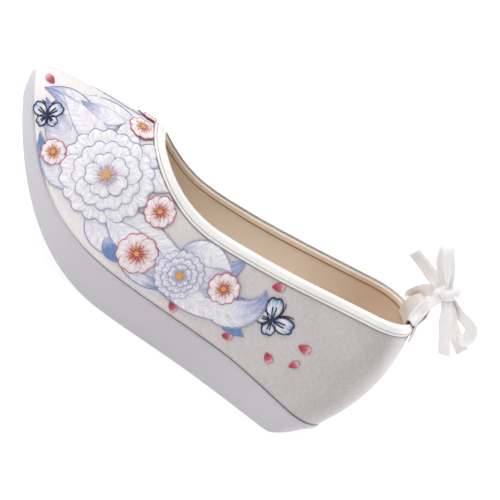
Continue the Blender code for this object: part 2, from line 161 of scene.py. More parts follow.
# Grid steps
HEEL_STEPS = 48
HEEL_CROWDING = 1.5
MIDDLE_STEPS = 90
TOE_STEPS = 84
SKIN_ROWS = 72
SKIN_CROWDING = 0.92
HALVINGS = 44
CLIMB_STEPS = 180
CLIMB_CROWDING = 1.6
SOLE_EDGE_ROWS = 7
SOLE_WALL_ROWS = 14
BED_ROUNDS = 8
BED_ROWS = 41
LINING_ROWS = 48
FACING_ROWS = 19
SEAM_ROWS = 9
PIPING_ROWS = 17
GROOVE_ROWS = 7
BAND_ROWS = 9
EDGE_ROWS = 13
INSIDE_ROWS = 6
STITCH_LINE_ROW = 22
STITCH_STEPS = 7
STITCH_SIDES = 8


def ease(value):
    """Smooth step: 3 t squared minus 2 t cubed, held between 0 and 1."""
    value = np.clip(value, 0.0, 1.0)
    return value * value * (3.0 - 2.0 * value)


def pick(pair, side):
    """Left or right value of a pair, by the sign of the side."""
    return np.where(side > 0.0, pair["left"], pair["right"])


def along(name, at):
    """One column of the section table at a length: a monotone cubic with harmonic-mean slopes."""
    places = np.array([row.from_heel for row in SECTIONS])
    values = np.array([getattr(row, name) for row in SECTIONS])
    steps = np.diff(places)
    grades = np.diff(values) / steps
    before, after = grades[:-1], grades[1:]
    same_way = before * after > 0.0
    total = np.where(same_way, before + after, 1.0)
    inner = np.where(same_way, 2.0 * before * after / total, 0.0)
    slopes = np.concatenate([grades[:1], inner, grades[-1:]])
    index = np.clip(np.searchsorted(places, at, side="right") - 1, 0, len(steps) - 1)
    step = steps[index]
    t = np.clip((at - places[index]) / step, 0.0, 1.0)
    start = (1.0 + 2.0 * t) * (1.0 - t) ** 2 * values[index] + t * (1.0 - t) ** 2 * step * slopes[index]
    end = t * t * (3.0 - 2.0 * t) * values[index + 1] + t * t * (t - 1.0) * step * slopes[index + 1]
    return start + end


def half_width(at, side):
    """Half width of the seam outline: superellipse heel, drawn-in waist, full ball and tapered toe."""
    ball = pick(BALL_AT, side)
    toe = np.clip((at - ball) / (TOE_TIP - ball), 0.0, 1.0)
    front = BALL_HALF_WIDTH * (1.0 - toe ** TOE_TAPER) ** TOE_POINT
    heel = np.clip((HEEL_HUB - at) / (HEEL_HUB - HEEL_BACK), 0.0, 1.0)
    rear = HEEL_HALF_WIDTH * (1.0 - heel ** HEEL_SQUARENESS) ** (1.0 / HEEL_SQUARENESS)
    t = np.clip((at - HEEL_HUB) / (ball - HEEL_HUB), 0.0, 1.0)
    waist = HEEL_HALF_WIDTH + (BALL_HALF_WIDTH - HEEL_HALF_WIDTH) * ease(t)
    waist = waist - pick(WAIST_IN, side) * np.sin(math.pi * t) ** 2
    return np.where(at >= ball, front, np.where(at <= HEEL_HUB, rear, waist))


def centre(at):
    """Sideways place of the centre line: it swings inwards with the square of the way to the toe."""
    t = np.clip((at - TOE_HUB) / (TOE_TIP - TOE_HUB), 0.0, 1.0)
    return -TOE_SWING * t * t


def seam_height(at):
    """Height of the seam over the sole: level, eased down at the heel, a power curve up to the toe."""
    drop = HEEL_DROP * ease((HEEL_DROP_FROM - at) / (HEEL_DROP_FROM - HEEL_BACK))
    t = np.maximum(0.0, (at - (TOE_TIP - TOE_RISE_LENGTH)) / TOE_RISE_LENGTH)
    return SOLE_HEIGHT - drop + TOE_RISE * t ** TOE_RISE_CURVE


def sole_bottom(at):
    """Height of the underside: flat, a power curve up to the toe, a rounded slant at the heel."""
    t = np.maximum(0.0, (at - FLAT_FRONT) / (TOE_TIP - FLAT_FRONT))
    slant = HEEL_CUT_ROUND * np.logaddexp(0.0, (FLAT_REAR - at) / HEEL_CUT_ROUND)
    return PROW_RISE * t ** PROW_CURVE + HEEL_CUT_SLOPE * slant


def collar_height(at, side):
    """Height of the collar edge: power curves up to the throat and to the heel from its low point."""
    low_at = pick(COLLAR_LOW_AT, side)
    front = np.maximum(0.0, (at - low_at) / (THROAT_AT - low_at))
    rear = np.maximum(0.0, (low_at - at) / (low_at - HEEL_COLLAR_AT))
    return COLLAR_LOW + THROAT_RISE * front ** THROAT_CURVE + HEEL_COLLAR_RISE * rear ** HEEL_COLLAR_CURVE


def insole_top(at):
    """Height of the footbed: a thin insole in front, eased up over the hidden heel wedge."""
    return seam_height(at) + INSOLE_THICK + HEEL_LIFT * ease((LIFT_FROM - at) / (LIFT_FROM - LIFT_TO))


def half_ring():
    """Lengths of the columns of one side, crowded at the heel seam, from there to the tip of the toe."""
    heel_turns = 0.5 * math.pi * np.linspace(0.0, 1.0, HEEL_STEPS, endpoint=False) ** HEEL_CROWDING
    heel = HEEL_HUB - (HEEL_HUB - HEEL_BACK) * np.cos(heel_turns) ** (2.0 / HEEL_SQUARENESS)
    middle = np.linspace(HEEL_HUB, TOE_HUB, MIDDLE_STEPS, endpoint=False)
    toe = TOE_HUB + (TOE_TIP - TOE_HUB) * np.sin(np.linspace(0.0, math.pi / 2.0, TOE_STEPS))
    return np.concatenate([heel, middle, toe])


def ring():
    """Lengths and sides of the columns right round: left side to the toe, right side back."""
    one = half_ring()
    at = np.concatenate([one, one[-2:0:-1]])
    side = np.concatenate([np.ones(len(one)), -np.ones(len(one) - 2)])
    return at, side


def column(at, side):
    """Columns of the last at lengths and sides: rim, hub, height range and section of each."""
    hub_at = np.clip(at, HEEL_HUB, TOE_HUB)
    hub_y = centre(hub_at)
    run_x = at - hub_at
    run_y = centre(at) + side * half_width(at, side) - hub_y
    reach = np.hypot(run_x, run_y)
    return Column(
        side, hub_at, hub_y, run_x / reach, run_y / reach, reach, seam_height(at), along("crown", at),
        along("fullness", at), along("ramp", at), along("flare", at), collar_height(at, side),
    )


def shell(col, angle, inset):
    """Points on the last: superellipse from seam (angle 0) to crown, mixed with a ramp at the toe."""
    power = 2.0 / col.fullness
    spread = np.maximum(np.cos(angle), 0.0) ** power
    lift = (1.0 - col.ramp) * np.sin(angle) ** power + col.ramp * (1.0 - spread)
    z = col.foot + (col.crown - col.foot - inset) * lift
    share = (z - col.foot) / (col.top - col.foot)
    out = (col.reach - inset) * spread + 4.0 * col.flare * share * (1.0 - share)
    return np.stack([col.hub_at + col.way_x * out, col.hub_y + col.way_y * out, z], axis=-1)


def angle_where(col, inset, is_below):
    """Angle up each column at which a test stops holding, by halving the range."""
    low = np.zeros_like(col.reach)
    high = np.full_like(col.reach, math.pi / 2.0)
    for _ in range(HALVINGS):
        middle = 0.5 * (low + high)
        below = is_below(shell(col, middle, inset))
        low = np.where(below, middle, low)
        high = np.where(below, high, middle)
    return 0.5 * (low + high)


def run_along(points):
    """Running length down the first axis of points: the summed distances from row to row."""
    steps = np.linalg.norm(np.diff(points, axis=0), axis=-1)
    return np.concatenate([np.zeros_like(steps[:1]), np.cumsum(steps, axis=0)])


def climb(at, side, inset, below, lengths):
    """Points up the columns at running lengths, which lengths(total) gives from each column's total."""
    col = column(at, side)
    top = angle_where(col, inset, lambda p: p[..., 2] < collar_height(p[..., 0], side) - below)
    turns = top * (np.linspace(0.0, 1.0, CLIMB_STEPS) ** CLIMB_CROWDING)[:, None]
    points = shell(col, turns, inset)
    run = run_along(points)
    wanted = lengths(run[-1])
    index = np.clip((run[None] <= wanted[:, None]).sum(axis=1) - 1, 0, len(run) - 2)
    low_run = np.take_along_axis(run, index, axis=0)
    high_run = np.take_along_axis(run, index + 1, axis=0)
    share = ((wanted - low_run) / (high_run - low_run))[..., None]
    low = np.take_along_axis(points, index[..., None], axis=0)
    high = np.take_along_axis(points, index[..., None] + 1, axis=0)
    return low + (high - low) * share - (HALF_LENGTH, 0.0, 0.0)


def ridges(distance, forms):
    """Soft ridges and troughs: heights times e to the minus squared distance over their widths."""
    return sum(form.high * np.exp(-((distance - form.at) / form.wide) ** 2) for form in forms)


def unit(vectors):
    """Vectors divided by their lengths."""
    return vectors / np.linalg.norm(vectors, axis=-1, keepdims=True)


def round_step(points):
    """Central difference round a closed ring of columns."""
    return 0.5 * (np.roll(points, -1, axis=1) - np.roll(points, 1, axis=1))


def outward(points):
    """Unit normals of a ring grid, pointing away from the shoe: up-step crossed with round-step."""
    return unit(np.cross(np.gradient(points, axis=0), round_step(points)))


# Mesh building

def grid_corners(rows, columns, around):
    """Corner indices of a grid's quads and of its map, facing the way of up-step crossed with round-step."""
    i, j = np.meshgrid(np.arange(rows - 1), np.arange(columns if around else columns - 1), indexing="ij")

    def quads(width, after):
        """Quads of a grid of a width, from each corner and the one after it."""
        low, high = i * width, (i + 1) * width
        return np.stack([low + j, high + j, high + after, low + after], axis=-1).reshape(-1, 4)

    return quads(columns, (j + 1) % columns), quads(columns + 1 if around else columns, j + 1)


def mesh_object(name, points, quads, uv=None, tints=None):
    """Smooth mesh object from arrays of points, quads, a corner map in metres and thread colours."""
    mesh = bpy.data.meshes.new(name)
    mesh.vertices.add(len(points))
    mesh.vertices.foreach_set("co", np.ascontiguousarray(points, dtype=np.float32).ravel())
    mesh.loops.add(quads.size)
    mesh.loops.foreach_set("vertex_index", quads.astype(np.int32).ravel())
    mesh.polygons.add(len(quads))
    mesh.polygons.foreach_set("loop_start", np.arange(0, quads.size, 4, dtype=np.int32))
    mesh.update(calc_edges=True)
    mesh.validate(clean_customdata=False)
    if uv is not None:
        layer = mesh.uv_layers.new(name="cloth")
        layer.data.foreach_set("uv", np.ascontiguousarray(uv, dtype=np.float32).ravel())
    if tints is not None:
        layer = mesh.color_attributes.new("thread", "FLOAT_COLOR", "POINT")
        full = np.concatenate([tints, np.ones((len(tints), 1))], axis=1)
        layer.data.foreach_set("color", full.astype(np.float32).ravel())
    mesh.shade_smooth()
    obj = bpy.data.objects.new(name, mesh)
    bpy.context.collection.objects.link(obj)
    return obj


def running_map(points, around):
    """Map of a grid in metres: running length round at mid height, and running length up."""
    closed = np.concatenate([points, points[:, :1]], axis=1) if around else points
    up_run = run_along(closed)
    round_run = run_along(closed[len(closed) // 2])
    return np.stack([np.broadcast_to(round_run, up_run.shape), up_run], axis=-1)


def grid_piece(name, points, around, uv=None):
    """Mesh object of one grid of points, closed round if asked, with its running map or another."""
    rows, columns = points.shape[:2]
    quads, uv_quads = grid_corners(rows, columns, around)
    uv = running_map(points, around) if uv is None else uv
    return mesh_object(name, points.reshape(-1, 3), quads, uv.reshape(-1, 2)[uv_quads])


def dress(obj, material, slot, *nodes):
    """Give a piece its material, its body and the solids it stands for; its slot is not used."""
    obj.data.materials.append(material)
    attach(obj, "root")
    if nodes:
        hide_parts(*nodes)
    return obj


# Materials

# Painted shade: a share of a tone ramps from dark to pale along the shoe, darker at the heel, paler to the
# toe
Fade = namedtuple("Fade", "share from_x to_x")
SATIN_PAINTED_SHADE = Fade(0.70, -0.100, 0.055)
LINING_PAINTED_SHADE = Fade(0.85, -0.126, -0.058)
PLAIN_GRAIN = (260.0, 1900.0)
Cloth = namedtuple("Cloth", "light dark thread roughness sheen slub fade grain")
CLOTHS = {
    # The satin's wide span from light to dark carries painted light towards the toe and painted shade
    # towards the heel
    "satin": Cloth((245, 239, 238), (180, 171, 172), 0.0005, 0.42, 0.25, 0.65, SATIN_PAINTED_SHADE, (430.0, 640.0)),
    "band_cloth": Cloth((251, 250, 248), (241, 239, 236), 0.0006, 0.36, 0.20, 0.30, None, PLAIN_GRAIN),
    "ribbon_cloth": Cloth((249, 247, 246), (236, 233, 232), 0.0007, 0.50, 0.30, 0.40, None, PLAIN_GRAIN),
    "loop_cloth": Cloth((228, 221, 216), (208, 199, 193), 0.0007, 0.55, 0.25, 0.40, None, PLAIN_GRAIN),
    # Grey of the seam threads, which also stands in for the shade in the groove and under the piping
    "seam_and_shade_cloth": Cloth((158, 151, 148), (136, 129, 127), 0.0005, 0.60, 0.10, 0.40, None, PLAIN_GRAIN),
}
Leather = namedtuple("Leather", "light dark fade")
LEATHERS = {
    # Lining and facing are painted darker towards the heel: painted shade inside the heel
    "lining_leather": Leather((247, 237, 225), (204, 176, 149), LINING_PAINTED_SHADE),
    # Dark brown of the painted shadow line under the facing
    "shadow_cord_leather": Leather((176, 142, 110), (150, 118, 90), None),
    "facing_leather": Leather((253, 240, 224), (222, 196, 172), LINING_PAINTED_SHADE),
    "insole_leather": Leather((244, 229, 211), (233, 214, 193), None),
}
FOAM_LIGHT = (208, 205, 210)
FOAM_DARK = (196, 193, 199)
THREAD_WIDE = 0.00045
STITCH_LONG = 0.0038
STITCH_UNEVEN = 2.5
TONE_GAIN = 2.2
TONE_SHIFT = -0.6
FOAM_SPECKLE_SHARE = 0.4

Finish = namedtuple("Finish", "roughness sheen specular")
LEATHER_FINISH = Finish(0.55, 0.1, 0.35)
FOAM_FINISH = Finish(0.58, 0.0, 0.35)
THREAD_FINISH = Finish(0.48, 0.35, 0.45)
FLOOR_FINISH = Finish(0.8, 0.0, 0.2)
CLOTH_SPECULAR = 0.4
SHEEN_ROUGHNESS = 0.45

# Cells of noise in a metre along each axis
CLOTH_CLOUDS = (55.0, 55.0, 55.0)
LEATHER_CLOUDS = (38.0, 38.0, 38.0)
LEATHER_PEBBLES = (1500.0, 1500.0, 1500.0)
FOAM_CLOUDS = (30.0, 30.0, 45.0)
FOAM_SPECKLE = (900.0, 900.0, 900.0)
FLOOR_CLOUDS = (4.0, 4.0, 4.0)
THREAD_STREAKS = (700.0, 90.0, 1.0)
STITCH_SHIFTS = (900.0, 40.0, 1.0)

# A range of values and the range it is carried to, and bumps with their depths in metres
Span = namedtuple("Span", "low high first last")
STREAK_TONES = Span(0.3, 0.7, 0.76, 1.16)
# Tone along each stitch row, lighter at its start and darker at its end: painted shade of the rows' relief
STITCH_PAINTED_SHADE = Span(0.0, 1.0, 1.05, 0.90)
Bump = namedtuple("Bump", "strength depth")
WEAVE_BUMP = Bump(0.35, 0.00012)
SLUB_BUMP = Bump(0.35, 0.00018)
PEBBLE_BUMP = Bump(0.3, 0.0002)
SPECKLE_BUMP = Bump(0.22, 0.00025)
THREAD_BUMP = Bump(0.5, 0.00018)
STREAK_BUMP = Bump(0.4, 0.00030)
STITCH_BUMP = Bump(0.35, 0.00025)


def tint(red, green, blue):
    """Display colour, 0 to 255, as linear light."""
    share = np.array((red, green, blue)) / 255.0
    return np.where(share <= 0.04045, share / 12.92, ((share + 0.055) / 1.055) ** 2.4)


def colour(red, green, blue):
    """Display colour as a shader value."""
    return (*(float(value) for value in tint(red, green, blue)), 1.0)


def add(tree, kind, inputs=None, **settings):
    """Shader node of a kind with settings; inputs are values, or sockets to link."""
    made = tree.nodes.new(kind)
    for key, value in settings.items():
        setattr(made, key, value)
    for key, value in (inputs or {}).items():
        if isinstance(value, bpy.types.NodeSocket):
            tree.links.new(value, made.inputs[key])
        else:
            made.inputs[key].default_value = value
    return made


def surface(name, finish):
    """New material with a principled surface; its constants sit on its own sockets."""
    material = bpy.data.materials.new(name)
    material.use_nodes = True
    body = material.node_tree.nodes["Principled BSDF"]
    body.inputs["Roughness"].default_value = finish.roughness
    body.inputs["Sheen Weight"].default_value = finish.sheen
    body.inputs["Sheen Roughness"].default_value = SHEEN_ROUGHNESS
    body.inputs["Specular IOR Level"].default_value = finish.specular
    return material, material.node_tree, body


def place_in(tree, source, scale):
    """Coordinates stretched by a scale: the cloth map in metres, or the object's own."""
    if source == "cloth":
        start = add(tree, "ShaderNodeUVMap", uv_map="cloth").outputs["UV"]
    else:
        start = add(tree, "ShaderNodeTexCoord").outputs["Object"]
    return add(tree, "ShaderNodeMapping", {"Vector": start, "Scale": scale}).outputs["Vector"]


def noise(tree, source, cells, detail=3.0, rough=0.5):
    """Noise with a number of cells in a metre along each axis."""
    inputs = {"Vector": place_in(tree, source, cells), "Scale": 1.0, "Detail": detail, "Roughness": rough}
    return add(tree, "ShaderNodeTexNoise", inputs).outputs["Fac"]


def waves(tree, where, axis):
    """Soft ridges, one for each unit along an axis of stretched coordinates."""
    full_turn = 2.0 * math.pi / 20.0
    made = add(tree, "ShaderNodeTexWave", {"Vector": where, "Scale": full_turn}, bands_direction=axis)
    return made.outputs["Fac"]


def math_node(tree, operation, first, second):
    """One sum on two values or sockets."""
    return add(tree, "ShaderNodeMath", {0: first, 1: second}, operation=operation).outputs[0]


def mix(tree, first, second, share):
    """Weighted sum of two values: the second by a share, the first by the rest."""
    rest = math_node(tree, "MULTIPLY", first, 1.0 - share)
    return math_node(tree, "ADD", rest, math_node(tree, "MULTIPLY", second, share))


def carry(tree, value, span):
    """Value carried from one range to another in a straight line and held at its ends."""
    inputs = {"Value": value, "From Min": span.low, "From Max": span.high}
    inputs.update({"To Min": span.first, "To Max": span.last})
    return add(tree, "ShaderNodeMapRange", inputs).outputs["Result"]


def ramp(tree, factor, low, high):
    """Mix of two colours by a factor."""
    made = add(tree, "ShaderNodeMix", {"Factor": factor, "A": low, "B": high}, data_type="RGBA")
    return made.outputs["Result"]


def bump(tree, height, form, under=None):
    """Bump of a height over another bump if given."""
    inputs = {"Height": height, "Strength": form.strength, "Distance": form.depth}
    if under is not None:
        inputs["Normal"] = under
    return add(tree, "ShaderNodeBump", inputs).outputs["Normal"]


def paint(tree, body, tone, light, dark, relief):
    """Join a tone between two display colours, and a relief, to a surface."""
    tree.links.new(ramp(tree, tone, colour(*dark), colour(*light)), body.inputs["Base Color"])
    tree.links.new(relief, body.inputs["Normal"])


def paint_shade_along(tree, tone, fade):
    """Painted shade along the shoe: a share of the tone grows from 0 to 1 between two places, from dark at
    the heel end to pale at the toe end.
    """
    place = add(tree, "ShaderNodeSeparateXYZ", {"Vector": place_in(tree, "object", (1.0, 1.0, 1.0))})
    pale = carry(tree, place.outputs["X"], Span(fade.from_x, fade.to_x, 0.0, 1.0))
    return mix(tree, tone, pale, fade.share)


def cloth_material(name, cloth):
    """Woven cloth: crossed ridges a thread apart, slubs along the weft and a cloudy tone, painted darker to
    the heel and paler to the toe if asked.
    """
    material, tree, body = surface(name, Finish(cloth.roughness, cloth.sheen, CLOTH_SPECULAR))
    fine = place_in(tree, "cloth", (1.0 / cloth.thread, 1.0 / cloth.thread, 1.0))
    weave = math_node(tree, "MULTIPLY", waves(tree, fine, "X"), waves(tree, fine, "Y"))
    slubs = noise(tree, "cloth", (*cloth.grain, 1.0))
    tone = mix(tree, noise(tree, "object", CLOTH_CLOUDS), slubs, cloth.slub)
    steep = {0: tone, 1: TONE_GAIN, 2: TONE_SHIFT}
    tone = add(tree, "ShaderNodeMath", steep, operation="MULTIPLY_ADD", use_clamp=True).outputs[0]
    if cloth.fade:
        tone = paint_shade_along(tree, tone, cloth.fade)
    relief = bump(tree, slubs, SLUB_BUMP, bump(tree, weave, WEAVE_BUMP))
    paint(tree, body, tone, cloth.light, cloth.dark, relief)
    return material


def leather_material(name, leather):
    """Soft lining leather: fine pebble grain, cloudy tone, painted shade darker to the heel and paler to the
    toe if asked, and a low gloss.
    """
    material, tree, body = surface(name, LEATHER_FINISH)
    tone = noise(tree, "object", LEATHER_CLOUDS)
    if leather.fade:
        tone = paint_shade_along(tree, tone, leather.fade)
    relief = bump(tree, noise(tree, "object", LEATHER_PEBBLES, rough=0.6), PEBBLE_BUMP)
    paint(tree, body, tone, leather.light, leather.dark, relief)
    return material


def foam_material(name):
    """Foamed platform: faint speckle, broad cloudy tone and a fine matte skin."""
    material, tree, body = surface(name, FOAM_FINISH)
    speckle = noise(tree, "object", FOAM_SPECKLE, detail=2.0)
    tone = mix(tree, noise(tree, "object", FOAM_CLOUDS), speckle, FOAM_SPECKLE_SHARE)
    paint(tree, body, tone, FOAM_LIGHT, FOAM_DARK, bump(tree, speckle, SPECKLE_BUMP))
    return material


def thread_material(name):
    """Satin stitch: thread colour, streaks along the threads, ridges a thread apart, uneven stitch ends, and
    painted shade darkening each stitch row towards its end.
    """
    material, tree, body = surface(name, THREAD_FINISH)
    colours = add(tree, "ShaderNodeVertexColor", layer_name="thread").outputs["Color"]
    streaks = noise(tree, "cloth", THREAD_STREAKS, rough=0.65)
    flat = add(tree, "ShaderNodeUVMap", uv_map="cloth").outputs["UV"]
    across = add(tree, "ShaderNodeSeparateXYZ", {"Vector": flat}).outputs["Y"]
    rows = math_node(tree, "MULTIPLY", across, 1.0 / STITCH_LONG)
    uneven = math_node(tree, "MULTIPLY", noise(tree, "cloth", STITCH_SHIFTS, detail=1.0), STITCH_UNEVEN)
    stitch = math_node(tree, "FRACT", math_node(tree, "ADD", rows, uneven), 0.0)
    # Each row of stitches is painted darker towards its end, shade of its relief, over random streaks
    shades = carry(tree, streaks, STREAK_TONES), carry(tree, stitch, STITCH_PAINTED_SHADE)
    tone = math_node(tree, "MULTIPLY", *shades)
    mixed = add(tree, "ShaderNodeVectorMath", {0: colours, "Scale": tone}, operation="SCALE")
    tree.links.new(mixed.outputs["Vector"], body.inputs["Base Color"])
    threads_wide = place_in(tree, "cloth", (1.0 / THREAD_WIDE, 1.0 / THREAD_WIDE, 1.0))
    relief = bump(tree, waves(tree, threads_wide, "X"), THREAD_BUMP)
    relief = bump(tree, streaks, STREAK_BUMP, relief)
    tree.links.new(bump(tree, stitch, STITCH_BUMP, relief), body.inputs["Normal"])
    return material


# Sole and footbed

def sole_grid():
    """Platform: each section runs down one side, across underneath, up the other side and back on top."""
    at = half_ring()
    up = np.array((0.0, 0.0, 1.0))
    bends = np.linspace(0.0, math.pi / 2.0, SOLE_EDGE_ROWS)
    halves = []
    for side in (1.0, -1.0):
        col = column(at, np.full_like(at, side))

        def at_reach(reach, height, col=col):
            """Points at reaches from the hubs, at a height that their lengths give."""
            place = col.hub_at + col.way_x * reach
            return np.stack([place, col.hub_y + col.way_y * reach, height(place)], axis=-1)

        outer = col.reach + LIP
        inner = outer - SOLE_TAPER
        rim = at_reach(outer, seam_height) - CLEARANCE * up
        foot = at_reach(inner, sole_bottom)
        tall = (rim - foot)[:, 2:]
        edge = np.minimum(SOLE_EDGE, SOLE_EDGE_SHARE * tall)
        way = np.stack([col.way_x, col.way_y, np.zeros_like(at)], axis=-1)
        high, low = rim - edge * up, foot + edge * up
        rows = [at_reach(share * outer, seam_height) - CLEARANCE * up for share in SOLE_TOP_SHARES]
        rows += [high - edge * way + edge * (way * math.sin(bend) + up * math.cos(bend)) for bend in bends]
        for share in np.linspace(0.0, 1.0, SOLE_WALL_ROWS)[1:-1]:
            bulge = SOLE_BULGE * tall * math.sin(math.pi * share)
            rows.append(low + (high - low) * (1.0 - share) + bulge * way)
        rows += [low - edge * way + edge * (way * math.cos(bend) - up * math.sin(bend)) for bend in bends]
        rows += [at_reach(inner * share, sole_bottom) for share in SOLE_UNDER_SHARES]
        halves.append(np.array(rows))
    left, right = halves
    points = np.concatenate([left, right[::-1]], axis=0)
    return np.concatenate([points, points[:1]], axis=0) - (HALF_LENGTH, 0.0, 0.0)


def insole_grid():
    """Footbed: from the left wall straight across to the right wall, a little dished under the foot."""
    at = half_ring()
    inset = WALL + BED_GAP + BED_TOE_GAP * np.clip((at - TOE_HUB) / (TOE_TIP - TOE_HUB), 0.0, 1.0)
    edges = []
    for side in (1.0, -1.0):
        col = column(at, np.full_like(at, side))
        reach = col.reach - inset
        for _ in range(BED_ROUNDS):
            height = insole_top(col.hub_at + col.way_x * reach)
            angle = angle_where(col, inset, lambda p, height=height: p[..., 2] < height)
            point = shell(col, angle, inset)
            reach = np.hypot(point[:, 0] - col.hub_at, point[:, 1] - col.hub_y)
            reach = np.minimum(reach, col.reach - inset + BED_CREEP)
        place = col.hub_at + col.way_x * reach
        edges.append(np.stack([place, col.hub_y + col.way_y * reach, insole_top(place)], axis=-1))
    shares = np.linspace(0.0, 1.0, BED_ROWS)[:, None, None]
    points = edges[0] + (edges[1] - edges[0]) * shares
    dish = BED_DISH * np.sin(math.pi * shares[..., 0]) ** BED_DISH_FULLNESS
    points[..., 2] = insole_top(points[..., 0]) - dish
    rim = points[[0, -1]] - (0.0, 0.0, BED_SKIRT)
    return np.concatenate([rim[:1], points, rim[1:]], axis=0) - (HALF_LENGTH, 0.0, 0.0)


# Upper and binding

def heel_seam(points):
    """Seam down the back of the heel: a trough between soft ridges, by the distance from the middle."""
    behind = points[..., 0] < HEEL_HUB - HALF_LENGTH - HEEL_SEAM_BACK
    return ridges(np.where(behind, np.abs(points[..., 1]), 1.0), HEEL_SEAM)


Crease = namedtuple("Crease", "side from_at from_up to_at to_up wide deep")
CREASES = (
    Crease(1.0, 0.150, 0.067, 0.171, 0.034, 0.0060, -0.00040),
    Crease(1.0, 0.141, 0.066, 0.158, 0.032, 0.0060, 0.00025),
    Crease(-1.0, 0.158, 0.066, 0.178, 0.036, 0.0060, -0.00040),
    Crease(1.0, 0.066, 0.078, 0.098, 0.064, 0.0050, -0.00035),
    Crease(1.0, 0.026, 0.032, 0.050, 0.040, 0.0070, -0.00045),
    Crease(-1.0, 0.028, 0.032, 0.054, 0.042, 0.0070, -0.00045),
    Crease(-1.0, 0.072, 0.078, 0.104, 0.062, 0.0050, -0.00035),
)


def creases(points, side):
    """Soft troughs and ridges along straight lines in the side view, fading at both ends."""
    total = np.zeros(points.shape[:2])
    for crease in CREASES:
        start = np.array((crease.from_at - HALF_LENGTH, crease.from_up))
        way = np.array((crease.to_at - crease.from_at, crease.to_up - crease.from_up))
        spot = points[..., (0, 2)] - start
        share = spot @ way / (way @ way)
        off = np.linalg.norm(spot - np.clip(share, 0.0, 1.0)[..., None] * way, axis=-1)
        fade = ease(CREASE_FADE - np.abs(2.0 * share - 1.0))
        total += np.where(side == crease.side, crease.deep * fade * np.exp(-(off / crease.wide) ** 2), 0.0)
    return total


def upper_grid():
    """Outside of the upper: the last with creases, the heel seam and a tuck where it meets the sole."""
    at, side = ring()
    shares = (np.linspace(0.0, 1.0, SKIN_ROWS) ** SKIN_CROWDING)[:, None]
    base = climb(at, side, 0.0, CLEARANCE + BAND_THICK, lambda total: shares * total)
    tuck = ridges(shares * run_along(base)[-1], SOLE_TUCK)
    relief = creases(base, side) + heel_seam(base) + tuck
    return base + outward(base) * relief[..., None]


def lining_grid():
    """Inside of the upper, from under the footbed to behind the facing strip."""
    at, side = ring()
    shares = np.linspace(0.0, 1.0, LINING_ROWS)[:, None]
    base = climb(at, side, WALL, 0.0, lambda total: shares * (total - FACING.low + LINING_TUCK))
    return base - outward(base) * LINING_GAP


def strip_depths(strip, turns):
    """Depths below the edge across a strip, from its low edge at -1 to its top at 1."""
    return (0.5 * (strip.low + strip.top) - 0.5 * (strip.low - strip.top) * turns)[:, None]


def facing_grid(strip):
    """Strip round the inside between two depths below the edge: a flattened half round over its depth."""
    at, side = ring()
    turns = np.sin(0.5 * math.pi * np.linspace(-1.0, 1.0, FACING_ROWS))
    base = climb(at, side, WALL, 0.0, lambda total: total - strip_depths(strip, turns))
    swell = strip.thick * np.sqrt(np.clip(1.0 - turns ** 4, 0.0, 1.0))
    return base - outward(base) * swell[:, None, None]


def seam_and_shade_grid(strip):
    """Seam thread beside the piping, grey so that it also paints the shade of the crease there: a half round
    on the outside whose edges dip under the satin.
    """
    at, side = ring()
    turns = np.linspace(-1.0, 1.0, SEAM_ROWS)
    base = climb(at, side, 0.0, 0.0, lambda total: total - strip_depths(strip, turns))
    swell = (CLEARANCE + strip.thick) * np.sqrt(np.clip(1.0 - turns ** 2, 0.0, 1.0)) - SEAM_SINK
    return base + outward(base) * swell[:, None, None]


def binding_profile(depth):
    """Thickness of the outside leg by depth below the edge: band, stitched groove, round piping, nothing."""
    band = BAND_THICK * np.sqrt(np.clip((BAND_DEPTH - depth) / GROOVE_ROUND, 0.0, 1.0))
    middle = 0.5 * (BAND_DEPTH + PIPING_DEPTH)
    half = 0.5 * (PIPING_DEPTH - BAND_DEPTH)
    piping = PIPING_THICK * np.sqrt(np.clip(1.0 - ((depth - middle) / half) ** 2, 0.0, 1.0))
    return np.where(depth < BAND_DEPTH, np.maximum(band, GROOVE_THICK), piping)


def binding_grid():
    """Collar binding: up the outside leg, round the edge and down the inside leg."""
    at, side = ring()
    turns = np.linspace(0.0, 1.0, PIPING_ROWS)
    depths = np.concatenate([
        PIPING_DEPTH - (PIPING_DEPTH - BAND_DEPTH) * 0.5 * (1.0 - np.cos(math.pi * turns)),
        BAND_DEPTH - GROOVE_ROUND * np.linspace(GROOVE_START, 1.0, GROOVE_ROWS) ** 2,
        np.linspace(BAND_DEPTH - BAND_FULL, EDGE_ROUND, BAND_ROWS),
    ])
    outside = climb(at, side, 0.0, 0.0, lambda total: total - depths[:, None])
    thick = binding_profile(depths) + CLEARANCE * (depths < BAND_DEPTH)
    outside = outside + outward(outside) * thick[:, None, None]
    inner_depths = np.linspace(EDGE_ROUND, BINDING_INSIDE, INSIDE_ROWS)
    inside = climb(at, side, WALL, 0.0, lambda total: total - inner_depths[:, None])
    lean = np.where(inner_depths > BINDING_INSIDE - INSIDE_EDGE, INSIDE_EDGE_THICK, BAND_THICK)
    inside = inside - outward(inside) * lean[:, None, None]
    edge = climb(at, side, 0.5 * WALL, 0.0, lambda total: total[None])[0]
    middle = 0.5 * (outside[-1] + inside[0])
    half = 0.5 * (outside[-1] - inside[0])
    bends = np.linspace(0.0, math.pi, EDGE_ROWS)[1:-1, None, None]
    over = middle + half * np.cos(bends) + (edge - middle) * np.sin(bends) ** EDGE_FULLNESS
    return np.concatenate([outside, over, inside], axis=0)


def at_places(places, run, table):
    """Rows of a table at places along a running length, in straight lines between its rows."""
    return np.stack([np.interp(places, run, table[:, axis]) for axis in range(3)], axis=-1)


